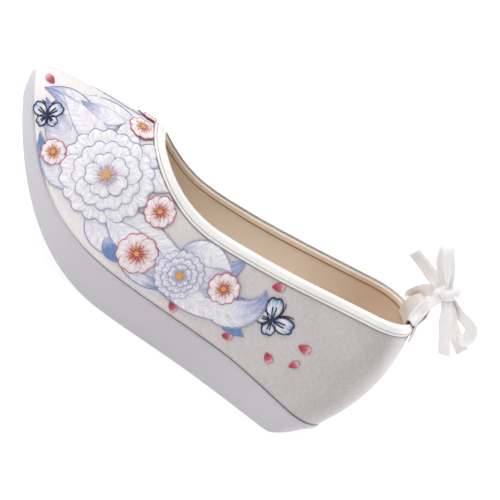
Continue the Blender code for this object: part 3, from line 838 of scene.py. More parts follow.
def stitch_row(name, line, normal):
    """Short thread stitches along a closed line: capsules of a length and gap, half sunk in the cloth."""
    closed = np.concatenate([line, line[:1]])
    run = run_along(closed)
    count = int(run[-1] / (STITCH_RUN + STITCH_GAP))
    shares = np.linspace(0.0, 1.0, STITCH_STEPS)
    places = (np.arange(count) * run[-1] / count)[:, None] + shares * STITCH_RUN
    spots = at_places(places, run, closed)
    up = unit(at_places(places, run, np.concatenate([normal, normal[:1]])))
    cross = np.cross(unit(np.gradient(spots, axis=1)), up)
    blunt = np.sqrt(np.clip(1.0 - (2.0 * shares - 1.0) ** 4, STITCH_BLUNT, 1.0))
    swell = blunt[None, :, None, None] * STITCH_THICK
    turns = np.linspace(0.0, 2.0 * math.pi, STITCH_SIDES, endpoint=False)[None, None, :, None]
    points = spots[:, :, None] + swell * (np.cos(turns) * cross[:, :, None] + np.sin(turns) * up[:, :, None])
    quads, uv_quads = grid_corners(STITCH_STEPS, STITCH_SIDES, True)
    offsets = (np.arange(count) * STITCH_STEPS * STITCH_SIDES)[:, None, None]
    around = np.linspace(0.0, STITCH_ROUND, STITCH_SIDES + 1)
    uv = np.stack(np.meshgrid(around, shares * STITCH_RUN), axis=-1).reshape(-1, 2)
    return mesh_object(
        name, points.reshape(-1, 3), (quads[None] + offsets).reshape(-1, 4),
        np.tile(uv[uv_quads], (count, 1, 1)),
    )


# Heel loop

TAB_THICK = 0.0011
TAB_INSIDE = 0.0070
TAB_OUTSIDE = 0.0080
TAB_ABOVE = 0.0105
TAB_LEAN = 0.0010
TAB_BASE_TURN = 27.0
TAB_TOP_TURN = 21.0
TAB_EDGE = 18
BINDING_THICK = 0.0008
LOOP_ROOM = BINDING_THICK + 2.0 * CLEARANCE
LOOP_COLUMNS = 61
LEG_ROWS = 9
TOP_ROWS = 25
TOP_ROUNDS = 3


def heel_column(turn):
    """Columns of the last at turns round the heel, in degrees from the back, left side first."""
    spread = np.cos(np.radians(np.abs(turn))) ** (2.0 / HEEL_SQUARENESS)
    return column(HEEL_HUB - (HEEL_HUB - HEEL_BACK) * spread, np.where(turn >= 0.0, 1.0, -1.0))


def heel_reach(col, inset, height):
    """Reach from the hub at a height from the collar edge, never in past the edge, and the edge's height."""
    cut = angle_where(col, inset, lambda p: p[..., 2] < collar_height(p[..., 0], col.side))
    edge = shell(col, cut, inset)
    aim = edge[..., 2] + np.minimum(height, 0.0)
    point = shell(col, angle_where(col, inset, lambda p: p[..., 2] < aim), inset)
    return np.hypot(point[..., 0] - col.hub_at, point[..., 1] - col.hub_y), edge[..., 2]


def heel_place(col, reach, height):
    """Points round the heel at reaches from the columns' hubs."""
    x = col.hub_at + col.way_x * reach - HALF_LENGTH
    return np.stack([x, col.hub_y + col.way_y * reach, height], axis=-1)


def loop_grid():
    """Folded strip over the collar: outside leg, round top, inside leg, then back along its other face."""
    shares = np.linspace(0.0, 1.0, LOOP_COLUMNS)
    rim = 1.0 - np.abs(2.0 * shares - 1.0) ** TAB_EDGE

    def turned(height):
        """Turns across the strip, narrower to its top, and its lean at a height."""
        above = ease(height / TAB_ABOVE)
        half = TAB_BASE_TURN + (TAB_TOP_TURN - TAB_BASE_TURN) * above
        return half * (2.0 * shares - 1.0), TAB_LEAN * above

    def leg(drop, inset, thick):
        """Row of a leg at a drop below the collar edge."""
        col = heel_column(turned(drop)[0])
        reach, collar = heel_reach(col, inset, drop)
        return heel_place(col, reach + thick, collar + drop)

    def top(bend, thick):
        """Row of the round top at a bend: a half circle from one leg to the other."""
        height = np.full_like(shares, TAB_ABOVE)
        for _ in range(TOP_ROUNDS):
            turn, lean = turned(height)
            col = heel_column(turn)
            outer, collar = heel_reach(col, -LOOP_ROOM, 0.0)
            inner, collar = heel_reach(col, WALL + LOOP_ROOM, 0.0)
            half = 0.5 * (outer - inner) + thick
            height = TAB_ABOVE - half - TAB_THICK + thick + half * math.sin(bend)
        return heel_place(col, 0.5 * (outer + inner) + lean + half * math.cos(bend), collar + height)

    def face(thick):
        """Rows of one face at a thickness from the binding."""
        rows = [leg(drop, -LOOP_ROOM, thick) for drop in np.linspace(-TAB_OUTSIDE, 0.0, LEG_ROWS)]
        rows += [top(bend, thick) for bend in np.linspace(0.0, math.pi, TOP_ROWS)]
        rows += [leg(drop, WALL + LOOP_ROOM, -thick) for drop in np.linspace(0.0, -TAB_INSIDE, LEG_ROWS)]
        return np.array(rows)

    middle = 0.5 * TAB_THICK
    outer_face = face(middle + middle * rim)
    inner_face = face(middle - middle * rim)
    return np.concatenate([outer_face, inner_face[::-1], outer_face[:1]], axis=0)


# Ribbon bow

RIBBON_WIDTH = 0.0070
RIBBON_THICK = 0.0007
RIBBON_EDGE = 0.35
RIBBON_ROUND = 0.55
RIBBON_FOLD = 0.00034
RIBBON_STEPS = 14
RIBBON_SIDES = 40
KNOT_PLACE = np.array((0.0048 - HALF_LENGTH, 0.0, 0.1138))
KNOT_LONG = 0.0155
KNOT_DEEP = 0.0100
KNOT_TALL = 0.0088
KNOT_TURN = -46.0
KNOT_FULLNESS = 0.7
KNOT_TAPER = 0.24
KNOT_WIND = 3.0
KNOT_SLANT = 0.7
KNOT_START = 0.6
KNOT_GROOVES = (Ridge(1.2, 0.22, -0.13), Ridge(-1.1, 0.22, -0.11))
KNOT_PLEAT = 0.020
KNOT_SWELL = 0.035
KNOT_RINGS = 49
KNOT_SIDES = 64

# Widths as shares of the ribbon's, where it is gathered
TIE_GATHER = 0.86
TIE_ENDS = (0.85, 1.05)
KNOT_GATHER = 0.62
INSIDE_GATHER = 0.6
GATHER_LIMITS = (0.4, 1.05)
GATHER_FROM = 0.004
GATHER_RUN = 0.010
GATHER_FOLD = 0.0011
FOLDS_ACROSS = 1.5 * math.pi
FOLD_SHIFT = 0.6
TIE_LEAN = 0.2 * TAB_LEAN

# Waves along the ribbon and their phase for each seed
Wave = namedtuple("Wave", "high long phase")
RIBBON_WAVES = (Wave(0.00018, 0.0031, 1.0), Wave(0.00012, 0.0017, 2.0))
RIBBON_CUP = (Wave(0.00035, 0.011, 1.0),)
WAVE_ACROSS = 2.5

Strand = namedtuple("Strand", "width_at_knot width_at_end tilt folds")
Fold = namedtuple("Fold", "back left up")
STRANDS = {
    "loop_front": Strand((0.55, -0.48, 0.52), (0.55, -0.48, 0.52), 0.0, (
        Fold(-0.0020, 0.0020, 0.0041),
        Fold(-0.0088, 0.0042, 0.0123),
        Fold(-0.0141, 0.0038, 0.0175),
        Fold(-0.0176, 0.0018, 0.0204),
        Fold(-0.0184, -0.0010, 0.0194),
        Fold(-0.0176, -0.0028, 0.0166),
        Fold(-0.0142, -0.0030, 0.0116),
        Fold(-0.0097, -0.0022, 0.0074),
        Fold(-0.0063, -0.0014, 0.0044),
    )),
    "tail_front": Strand((0.20, 0.10, 0.97), (0.20, 0.36, 0.91), 0.0, (
        Fold(-0.0055, -0.0023, -0.0003),
        Fold(-0.0112, -0.0056, 0.0008),
        Fold(-0.0170, -0.0068, 0.0024),
        Fold(-0.0266, -0.0070, 0.0042),
    )),
    "loop_back": Strand((0.27, 0.89, 0.36), (0.27, 0.89, 0.36), -50.0, (
        Fold(0.0056, -0.0014, -0.0008),
        Fold(0.0098, -0.0012, -0.0026),
        Fold(0.0140, -0.0010, -0.0046),
        Fold(0.0190, -0.0012, -0.0054),
        Fold(0.0240, -0.0016, -0.0070),
        Fold(0.0270, -0.0022, -0.0114),
        Fold(0.0258, -0.0028, -0.0160),
        Fold(0.0212, -0.0030, -0.0156),
        Fold(0.0164, -0.0028, -0.0110),
        Fold(0.0108, -0.0024, -0.0064),
    )),
    "tail_back": Strand((0.74, 0.20, 0.63), (0.62, 0.58, 0.52), 0.0, (
        Fold(0.0027, 0.0024, -0.0033),
        Fold(0.0074, 0.0058, -0.0094),
        Fold(0.0120, 0.0068, -0.0152),
        Fold(0.0166, 0.0068, -0.0206),
        Fold(0.0208, 0.0062, -0.0254),
    )),
    "tail_low": Strand((0.50, -0.10, 0.85), (0.50, -0.34, 0.79), 0.0, (
        Fold(0.0021, -0.0040, -0.0035),
        Fold(0.0110, -0.0080, -0.0098),
        Fold(0.0190, -0.0090, -0.0152),
        Fold(0.0326, -0.0090, -0.0222),
    )),
}
TieFold = namedtuple("TieFold", "turn height")
TIE_TUNNEL = (
    TieFold(-33.0, 0.0040), TieFold(-20.0, 0.0026), TieFold(0.0, 0.0022),
    TieFold(20.0, 0.0022), TieFold(32.0, 0.0030),
)
TIE_FAR = (Fold(-0.0042, -0.0049, -0.0036), Fold(-0.0070, -0.0100, -0.0098))
TIE_NEAR = (Fold(-0.0076, 0.0120, -0.0090), Fold(-0.0027, 0.0047, -0.0037))
TIE_WIDTH_WAY = (-0.80, 0.0, -0.60)
Ribbon = namedtuple("Ribbon", "into out_of nodes")
RIBBONS = {
    "ribbon_front": Ribbon("loop_front", "tail_back", ("bow_loop_front", "bow_tail_back")),
    "ribbon_back": Ribbon("loop_back", "tail_front", ("bow_loop_back", "bow_tail_front")),
    "ribbon_tie": Ribbon("tie", "tail_low", ("bow_tie", "bow_tail_low")),
}


def by_knot(fold):
    """Place of a fold, measured from the knot."""
    return np.array((-fold.back, fold.left, fold.up)) + KNOT_PLACE


def strand_rows(name):
    """Rows of one strand from the knot out: place, width direction, share of the full width, tilt."""
    strand = STRANDS[name]
    shares = np.linspace(0.0, 1.0, len(strand.folds))[:, None]
    places = np.array([by_knot(fold) for fold in strand.folds])
    widths = np.array(strand.width_at_knot) * (1.0 - shares) + np.array(strand.width_at_end) * shares
    from_knot = np.linalg.norm(places - KNOT_PLACE, axis=1)[:, None]
    gathered = KNOT_GATHER + (1.0 - KNOT_GATHER) * ease((from_knot - GATHER_FROM) / GATHER_RUN)
    tilt = strand.tilt * np.sin(math.pi * shares)
    return np.concatenate([places, widths * (-1.0, 1.0, 1.0), gathered, tilt], axis=1)


def tie_rows():
    """Rows of the tie: from the knot, gathered through the heel loop's tunnel, back to the knot."""
    def at_knot(folds, gathers):
        """Rows of folds beside the knot, with the shares that they are gathered to."""
        pairs = zip(folds, gathers)
        return [np.concatenate([by_knot(fold), TIE_WIDTH_WAY, [gather, 0.0]]) for fold, gather in pairs]

    turns = np.array([fold.turn for fold in TIE_TUNNEL])
    heights = np.array([fold.height for fold in TIE_TUNNEL])
    col = heel_column(turns)
    outer, collar = heel_reach(col, -LOOP_ROOM, 0.0)
    inner, collar = heel_reach(col, WALL + LOOP_ROOM, 0.0)
    places = heel_place(col, 0.5 * (outer + inner) + TIE_LEAN, collar + heights)
    ways = np.stack([col.way_x, col.way_y, np.zeros_like(turns)], axis=-1)
    tunnel = [np.concatenate([place, way, [TIE_GATHER, 0.0]]) for place, way in zip(places, ways)]
    return np.array(at_knot(TIE_FAR, TIE_ENDS) + tunnel + at_knot(TIE_NEAR, TIE_ENDS[::-1]))


def smooth_run(rows, steps):
    """Smooth curve through rows: a cubic on each span with slopes from its neighbours."""
    padded = np.vstack([2.0 * rows[0] - rows[1], rows, 2.0 * rows[-1] - rows[-2]])
    a, b, c, d = padded[:-3, None], padded[1:-2, None], padded[2:-1, None], padded[3:, None]
    t = np.linspace(0.0, 1.0, steps, endpoint=False)[None, :, None]
    run = 0.5 * (2.0 * b + (c - a) * t + (2.0 * a - 5.0 * b + 4.0 * c - d) * t * t
                 + (3.0 * b - a - 3.0 * c + d) * t ** 3)
    return np.concatenate([run.reshape(-1, rows.shape[1]), rows[-1:]])


def through_knot(before, after):
    """Rows of one ribbon: a strand into the knot, narrowed inside it, and another strand out of it."""
    middle = 0.5 * (before[-1] + after[0])
    middle[:3] = 0.5 * middle[:3] + 0.5 * KNOT_PLACE
    middle[6] = INSIDE_GATHER
    return np.concatenate([before, middle[None], after])


def ripple(length, forms, seed):
    """Sum of waves along a length, each shifted by its phase for the seed."""
    return sum(wave.high * np.sin(length / wave.long + wave.phase * seed) for wave in forms)


def rounded(values, power):
    """Values from -1 to 1 raised to a power, with their signs kept."""
    return np.sign(values) * np.abs(values) ** power


def ribbon_grid(rows, seed):
    """Flat woven ribbon along rows: a flat oval section, cupped a little and gently waved along its run."""
    run = smooth_run(rows, RIBBON_STEPS)
    place = run[:, :3]
    way = unit(np.gradient(place, axis=0))
    width = unit(run[:, 3:6] - way * np.sum(run[:, 3:6] * way, axis=1)[:, None])
    out = np.cross(way, width)
    tilt = np.radians(run[:, 7:8])
    width, out = width * np.cos(tilt) + out * np.sin(tilt), out * np.cos(tilt) - width * np.sin(tilt)
    turns = np.linspace(0.0, 2.0 * math.pi, RIBBON_SIDES, endpoint=False)
    flat_x = rounded(np.cos(turns), RIBBON_EDGE)[None]
    flat_y = rounded(np.sin(turns), RIBBON_ROUND)[None]
    length = run_along(place)
    wave = ripple(length, RIBBON_WAVES, seed)[:, None] * np.cos(WAVE_ACROSS * flat_x)
    cup = ripple(length, RIBBON_CUP, seed)[:, None] * (flat_x ** 2 - 0.5)
    gather = np.clip(run[:, 6:7], *GATHER_LIMITS)
    across = flat_x * 0.5 * RIBBON_WIDTH * gather
    fold_high = RIBBON_FOLD + GATHER_FOLD * np.maximum(1.0 - gather, 0.0)
    folds = fold_high * np.cos(FOLDS_ACROSS * flat_x + FOLD_SHIFT * seed)
    rise = flat_y * 0.5 * RIBBON_THICK + cup + folds + wave
    points = place[:, None] + across[..., None] * width[:, None] + rise[..., None] * out[:, None]
    ends = place[[0, -1], None] + np.zeros((1, RIBBON_SIDES, 1))
    points = np.concatenate([ends[:1], points, ends[1:]])
    around = np.linspace(0.0, 2.0 * RIBBON_WIDTH, RIBBON_SIDES + 1)
    along_it = np.concatenate([[0.0], length, length[-1:]])
    uv = np.stack(np.meshgrid(around, along_it), axis=-1)
    return points, uv, place, float(length[-1])


def knot_grid():
    """Knot: a rounded lump with the folds of the ribbon wound over it as soft grooves."""
    spin = math.radians(KNOT_TURN)
    rings = np.linspace(-math.pi / 2.0, math.pi / 2.0, KNOT_RINGS)[:, None]
    turns = np.linspace(0.0, 2.0 * math.pi, KNOT_SIDES, endpoint=False)[None]
    wound = np.sin(rings) * KNOT_WIND + KNOT_SLANT * np.sin(turns + KNOT_START)
    pleats = KNOT_PLEAT * np.sin(11.0 * rings + 1.5 * np.sin(turns))
    swells = KNOT_SWELL * np.sin(2.0 * turns + 3.0 * rings)
    groove = 1.0 + ridges(wound, KNOT_GROOVES) + pleats + swells
    girth = 0.5 * np.abs(np.cos(rings)) ** KNOT_FULLNESS * groove * (1.0 - KNOT_TAPER * np.sin(rings) ** 2)
    along_it = 0.5 * KNOT_LONG * np.sin(rings) * np.ones_like(turns)
    deep = KNOT_DEEP * girth * np.sin(turns)
    tall = KNOT_TALL * girth * np.cos(turns)
    x = along_it * math.cos(spin) + tall * math.sin(spin)
    z = along_it * math.sin(spin) - tall * math.cos(spin)
    return np.stack([x, deep, z], axis=-1) + KNOT_PLACE


# Embroidery laid on the upper

SEAM_MARGIN = 0.0012
UNDER_CLOTH = 0.0006
NEAR_BOX = 0.012
PATCH_REACH = 0.8
OTHER_SIDE = -0.0005


class Needlework:
    """Patches of satin stitch, drawn flat and laid on the skin of the upper, gathered into one mesh."""

    def __init__(self, skin):
        """Keep the skin's points, normals, first and second steps, and the room for stitches."""
        self.spots = skin.reshape(-1, 3)
        step_u, step_v = round_step(skin), np.gradient(skin, axis=0)
        self.steps = [grid.reshape(-1, 3) for grid in (
            step_u, step_v, round_step(step_u), np.gradient(step_u, axis=0), np.gradient(step_v, axis=0))]
        self.normals = outward(skin).reshape(-1, 3)
        run = run_along(skin)
        self.room = np.minimum(run - SEAM_MARGIN, run[-1] - run - PIPING_DEPTH + SEAM_MARGIN).ravel()
        self.points, self.quads, self.uv, self.tints = [], [], [], []
        self.count = 0

    def nearest(self, spots):
        """Index of the nearest skin point of each spot."""
        low, high = spots.min(axis=0) - NEAR_BOX, spots.max(axis=0) + NEAR_BOX
        near = np.flatnonzero(np.all((self.spots > low) & (self.spots < high), axis=1))
        chosen = self.spots[near]
        reach = (chosen ** 2).sum(axis=1)[None] - 2.0 * spots @ chosen.T
        return near[reach.argmin(axis=1)]

    def settle(self, spots, lift):
        """Spots moved onto the skin's second-order patch at the nearest skin point and raised by lift.

        Near the seam and the binding they go under the cloth instead, so that no stitch lies over these.
        """
        index = self.nearest(spots)
        lift = np.where(self.room[index] > 0.0, lift, -UNDER_CLOTH)
        u, v, uu, uv, vv = (grid[index] for grid in self.steps)
        off = spots - self.spots[index]
        a, b, c = (u * u).sum(-1), (u * v).sum(-1), (v * v).sum(-1)
        p, q = (off * u).sum(-1), (off * v).sum(-1)
        whole = a * c - b * b
        s = np.clip((p * c - q * b) / whole, -PATCH_REACH, PATCH_REACH)[:, None]
        t = np.clip((q * a - p * b) / whole, -PATCH_REACH, PATCH_REACH)[:, None]
        on = self.spots[index] + s * u + t * v + 0.5 * (s * s * uu + 2.0 * s * t * uv + t * t * vv)
        normal = unit(np.cross(v + t * vv + s * uv, u + s * uu + t * uv))
        return on + normal * lift[:, None]

    def frame_at(self, side, at, up):
        """Skin point at a length and height on a side, with its toe-ward and upward directions."""
        spot = np.array((at - HALF_LENGTH, up))
        wrong_side = np.where(side * self.spots[:, 1] < OTHER_SIDE, 1.0, 0.0)
        index = (((self.spots[:, (0, 2)] - spot) ** 2).sum(axis=1) + wrong_side).argmin()
        normal = self.normals[index]
        forward = unit(np.array((1.0, 0.0, 0.0)) - normal[0] * normal)
        return self.spots[index], forward, side * np.cross(forward, normal)

    def lay(self, anchor, flat, lift, tints, stitch):
        """Lay one flat grid (x to the toe, y up) on the skin at an anchor, with colours and stitch map."""
        spot, forward, upward = anchor
        rows, columns = flat.shape[:2]
        spots = spot + flat[..., :1] * forward + flat[..., 1:] * upward
        points = self.settle(spots.reshape(-1, 3), lift.ravel())
        quads, uv_quads = grid_corners(rows, columns, False)
        self.points.append(points)
        self.quads.append(quads + self.count)
        self.uv.append(stitch.reshape(-1, 2)[uv_quads])
        self.tints.append(np.broadcast_to(tints, (rows, columns, 3)).reshape(-1, 3))
        self.count += rows * columns

    def finish(self, name):
        """One mesh object of all the patches."""
        return mesh_object(
            name, np.concatenate(self.points), np.concatenate(self.quads), np.concatenate(self.uv),
            np.concatenate(self.tints),
        )


WHITE = tint(250, 247, 252)
PEARL = tint(240, 238, 248)
LILAC = tint(192, 191, 226)
BLUE = tint(112, 146, 196)
SLATE = tint(168, 168, 200)
ROSE = tint(208, 104, 122)
NAVY = tint(26, 34, 72)
PALE_BLUE = tint(212, 221, 240)
BLUSH = tint(246, 226, 230)
CRIMSON = tint(188, 62, 84)
RED = tint(186, 40, 50)
GOLD = tint(236, 176, 92)


def blend(colours, share):
    """Colours spread evenly along 0 to 1 and mixed at a share."""
    table = np.array(colours)
    places = np.linspace(0.0, 1.0, len(table))
    return np.stack([np.interp(share, places, table[:, axis]) for axis in range(3)], axis=-1)


def turn_flat(flat, degrees, shift=(0.0, 0.0)):
    """Flat points turned about the origin and shifted."""
    angle = math.radians(degrees)
    turned = np.array(((math.cos(angle), math.sin(angle)), (-math.sin(angle), math.cos(angle))))
    return flat @ turned + np.array(shift)


def spine(length, start, bend, curl, steps=44):
    """Flat curve from the origin: its heading starts at an angle, bends evenly and curls with the square."""
    t = np.linspace(0.0, 1.0, steps)
    heading = np.radians(start + bend * t + curl * t * t)
    step = length / (steps - 1)
    line = np.cumsum(np.stack([np.cos(heading), np.sin(heading)], axis=-1), axis=0) * step
    return line - line[0], np.stack([-np.sin(heading), np.cos(heading)], axis=-1), t


# Sizes of the stitching: steps across and along, lifts over the cloth in metres, shares of a motif's size
LEAF_COLUMNS = 15
LEAF_FULL_AT = 0.42
LEAF_BASE_POINT = 0.8
LEAF_TIP_POINT = 1.15
LEAF_SLANT = 0.9
LEAF_PAD = 0.00055
LEAF_RIB = (Ridge(0.0, 0.16, -0.00018),)
LEAF_EDGE_LIFT = 0.00020
LEAF_FEATHER = 0.10
LEAF_WAVES = 9.0
LEAF_PHASE = 4.0
PETAL_ROWS = 18
PETAL_COLUMNS = 17
PETAL_NOTCH_WIDE = 0.28
PETAL_ROUND = 0.30
PETAL_NARROW = 0.35
PETAL_FULLNESS = 0.9
PETAL_PAD = 0.00045
PETAL_EDGE_LIFT = 0.00025
PETAL_FEATHER = 0.09
PETAL_WAVES = 14.0
FAN_FROM = 0.12
FAN_TURN = 0.55
MIDDLE = (0.0, 0.0)
PAD_DIP = 0.00025
EDGE_COLUMNS = 5
EDGE_WIDE = 0.0006
EDGE_HIGH = 0.8
EDGE_SINK = 0.0003
SHORTEST_STEP = 1e-9
BLOSSOM_BASE = 0.0011
BLOSSOM_STEP = 0.00008
STAMEN_BASE = 0.0016
STAMEN_WIDE = 0.00045
TIP_WIDE = 0.0010
LOOSE_BASE = 0.0003
PEONY_BASE = 0.0008
PEONY_STEP = 0.0001
PEONY_TWIST = 17.0
HEART_BASE = PEONY_BASE + 0.0016
GRAINS_BASE = PEONY_BASE + 0.0017
GRAINS_WIDE = 0.0008
VEIN_LIFT = 0.0006
VEIN_SPREAD = 13.0
BODY_BASE = 0.0010
BODY_WIDE = 0.0017
FEELER_BASE = 0.0005

PetalRing = namedtuple("PetalRing", "count reach wide start base")
PEONY_RINGS = (
    PetalRing(9, 0.50, 0.40, 0.20, 0.0),
    PetalRing(7, 0.36, 0.33, 0.12, 0.0005),
    PetalRing(5, 0.23, 0.24, 0.05, 0.0010),
)
Wing = namedtuple("Wing", "angle reach wide base")
WINGS = (Wing(38.0, 0.52, 0.40, 0.0005), Wing(-42.0, 0.36, 0.32, 0.0003))
PetalKind = namedtuple("PetalKind", "colours edge notch edge_wide")
BLOSSOM_PETAL = PetalKind((RED, CRIMSON, BLUSH, WHITE, BLUSH), ROSE, 0.05, 0.00055)
LOOSE_PETAL = PetalKind((RED, CRIMSON, ROSE, BLUSH), ROSE, 0.08, 0.0004)
LARGE_PEONY = PetalKind((LILAC, LILAC, PEARL, WHITE, WHITE), SLATE, 0.10, 0.00050)
SMALL_PEONY = PetalKind((BLUE, LILAC, LILAC, PEARL, PEARL), SLATE, 0.10, 0.00050)
WING = PetalKind((BLUE, PALE_BLUE, WHITE, PALE_BLUE, BLUE), NAVY, 0.06, 0.0009)
HEART = PetalKind((GOLD, GOLD), GOLD, 0.0, EDGE_WIDE)


def ray(near, far, heading, steps):
    """Straight flat line on a heading from the middle, between two distances."""
    return turn_flat(np.stack([np.linspace(near, far, steps), np.zeros(steps)], axis=-1), heading)


def padded_lift(edge, height, base):
    """Height of padded stitching: a rounded dome that dips under the cloth at its edge."""
    return base + height * np.sqrt(np.clip(1.0 - edge ** 4, 0.0, 1.0)) - PAD_DIP * (edge > 0.999)


def edging(work, anchor, line, wide, base, tone):
    """Corded edge: a half-round thread carried along a flat line."""
    way = np.gradient(line, axis=0)
    way = way / np.maximum(np.linalg.norm(way, axis=1, keepdims=True), SHORTEST_STEP)
    across = np.stack([-way[:, 1], way[:, 0]], axis=-1)
    v = np.linspace(-1.0, 1.0, EDGE_COLUMNS)
    flat = line[:, None] + across[:, None] * (0.5 * wide * v)[None, :, None]
    dome = np.sqrt(np.clip(1.0 - v ** 2, 0.0, 1.0))[None] * np.ones((len(line), 1))
    stitch = np.stack(np.broadcast_arrays(run_along(line)[:, None], 0.5 * wide * v[None]), axis=-1)
    work.lay(anchor, flat, base + EDGE_HIGH * wide * dome - EDGE_SINK, tone, stitch)


def leaf(work, anchor, scroll, base):
    """Scroll leaf: a curved spine, widest at a share of its length, slanted stitches and a corded edge."""
    line, across, t = spine(scroll.length, scroll.start, scroll.bend, scroll.curl)
    grow = np.sin(0.5 * math.pi * np.clip(t / LEAF_FULL_AT, 0.0, 1.0)) ** LEAF_BASE_POINT
    fall = np.sin(0.5 * math.pi * np.clip((1.0 - t) / (1.0 - LEAF_FULL_AT), 0.0, 1.0)) ** LEAF_TIP_POINT
    half = (0.5 * scroll.wide * np.minimum(grow, fall))[:, None]
    t = t[:, None]
    v = np.linspace(-1.0, 1.0, LEAF_COLUMNS)[None]
    flat = line[:, None] + across[:, None] * (v * half)[..., None]
    stitch = np.stack([scroll.length * t - LEAF_SLANT * np.abs(v) * half, v * half], axis=-1)
    lift = padded_lift(np.abs(v) * np.ones_like(t), LEAF_PAD, base) + ridges(v, LEAF_RIB)
    feather = np.clip(t + LEAF_FEATHER * np.sin(LEAF_WAVES * v + LEAF_PHASE * scroll.bend) * t, 0.0, 1.0)
    work.lay(anchor, flat, lift, blend(scroll.colours, feather), stitch)
    rim = np.concatenate([flat[:, 0], flat[::-1, -1]])
    edging(work, anchor, rim, EDGE_WIDE, base + LEAF_EDGE_LIFT, SLATE)


def petal(work, anchor, place, heading, length, wide, base, kind):
    """Petal from a point: a rounded fan, lengthwise stitches, a soft notch at its tip and a corded edge."""
    t = np.linspace(0.0, 1.0, PETAL_ROWS)[:, None]
    v = np.linspace(-1.0, 1.0, PETAL_COLUMNS)[None]
    reach = length * (1.0 - ridges(v, (Ridge(0.0, PETAL_NOTCH_WIDE, kind.notch),)) - PETAL_ROUND * v ** 4)
    fan = np.sin(math.pi * (FAN_FROM + FAN_TURN * t)) ** PETAL_FULLNESS
    half = 0.5 * wide * fan * (PETAL_NARROW + (1.0 - PETAL_NARROW) * np.sqrt(t))
    x, y = t * reach, v * half
    flat = turn_flat(np.stack([x, y], axis=-1), heading, place)
    lift = padded_lift(np.maximum(np.abs(v), t ** 3), PETAL_PAD, base)
    streak = np.clip(t + PETAL_FEATHER * np.sin(PETAL_WAVES * v), 0.0, 1.0)
    work.lay(anchor, flat, lift, blend(kind.colours, streak), np.stack([y, x], axis=-1))
    line = np.concatenate([flat[:, 0], flat[-1], flat[::-1, -1]])
    edging(work, anchor, line, kind.edge_wide, base + PETAL_EDGE_LIFT, kind.edge)


def blossom(work, anchor, size, turn):
    """Plum blossom: five round petals flushed red at the heart, gold stamens and a gold centre."""
    for k in range(5):
        petal(work, anchor, MIDDLE, turn + 72.0 * k, 0.5 * size, 0.62 * size,
              BLOSSOM_BASE + BLOSSOM_STEP * (k % 2), BLOSSOM_PETAL)
    for k in range(10):
        heading = turn + 36.0 + 36.0 * k
        far = 0.5 * size * (0.52 if k % 2 else 0.40)
        edging(work, anchor, ray(0.0, far, heading, 8), STAMEN_WIDE, STAMEN_BASE, GOLD)
        edging(work, anchor, ray(far - 0.0003, far + 0.0006, heading, 6), TIP_WIDE, STAMEN_BASE, GOLD)
    petal(work, anchor, (-0.0009, 0.0), 0.0, 0.0019, 0.0022, STAMEN_BASE, HEART)


def loose_petal(work, anchor, size, turn):
    """Single fallen petal: pale at the tip and red at the base."""
    petal(work, anchor, MIDDLE, turn, size, 0.72 * size, LOOSE_BASE, LOOSE_PETAL)


def peony(work, anchor, size, turn, kind):
    """Full flower: three rings of broad notched petals, shaded from the heart to the rim."""
    for level, whorl in enumerate(PEONY_RINGS):
        for k in range(whorl.count):
            heading = turn + 360.0 * k / whorl.count + PEONY_TWIST * level
            place = turn_flat(np.array((whorl.start * 0.5 * size, 0.0)), heading)
            petal(work, anchor, place, heading, (whorl.reach - 0.5 * whorl.start) * size, whorl.wide * size,
                  PEONY_BASE + whorl.base + PEONY_STEP * (k % 3), kind)
    for k in range(9):
        edging(work, anchor, ray(0.001, 0.10 * size, turn + 40.0 * k, 6), GRAINS_WIDE, GRAINS_BASE, GOLD)
    petal(work, anchor, (-0.0013, 0.0), 0.0, 0.0027, 0.0034, HEART_BASE, HEART)


def butterfly(work, anchor, size, turn):
    """Butterfly seen from above: four pale blue wings with navy edges and veins, a body and feelers."""
    for flip in (1.0, -1.0):
        for wing in WINGS:
            heading = turn + 90.0 + flip * (90.0 - wing.angle)
            petal(work, anchor, MIDDLE, heading, wing.reach * size, wing.wide * size, wing.base, WING)
            for spread in (-VEIN_SPREAD, VEIN_SPREAD):
                vein, _, _ = spine(0.62 * wing.reach * size, heading + spread, -0.8 * spread, 0.0, 12)
                edging(work, anchor, vein, WING.edge_wide, wing.base + VEIN_LIFT, NAVY)
    body = ray(-0.24 * size, 0.18 * size, turn + 90.0, 10)
    edging(work, anchor, body, BODY_WIDE, BODY_BASE, NAVY)
    for flip in (1.0, -1.0):
        feeler, _, _ = spine(0.34 * size, turn + 90.0 + 14.0 * flip, 30.0 * flip, 20.0 * flip, 16)
        edging(work, anchor, feeler + body[-1], EDGE_WIDE, FEELER_BASE, NAVY)


BLUE_TIP = (PEARL, WHITE, PEARL, LILAC, BLUE)
DEEP_TIP = (LILAC, PEARL, PEARL, BLUE, BLUE)
PALE_TIP = (LILAC, PEARL, WHITE, WHITE, PEARL)
BLUE_LEAF = (PALE_BLUE, BLUE, BLUE, BLUE)

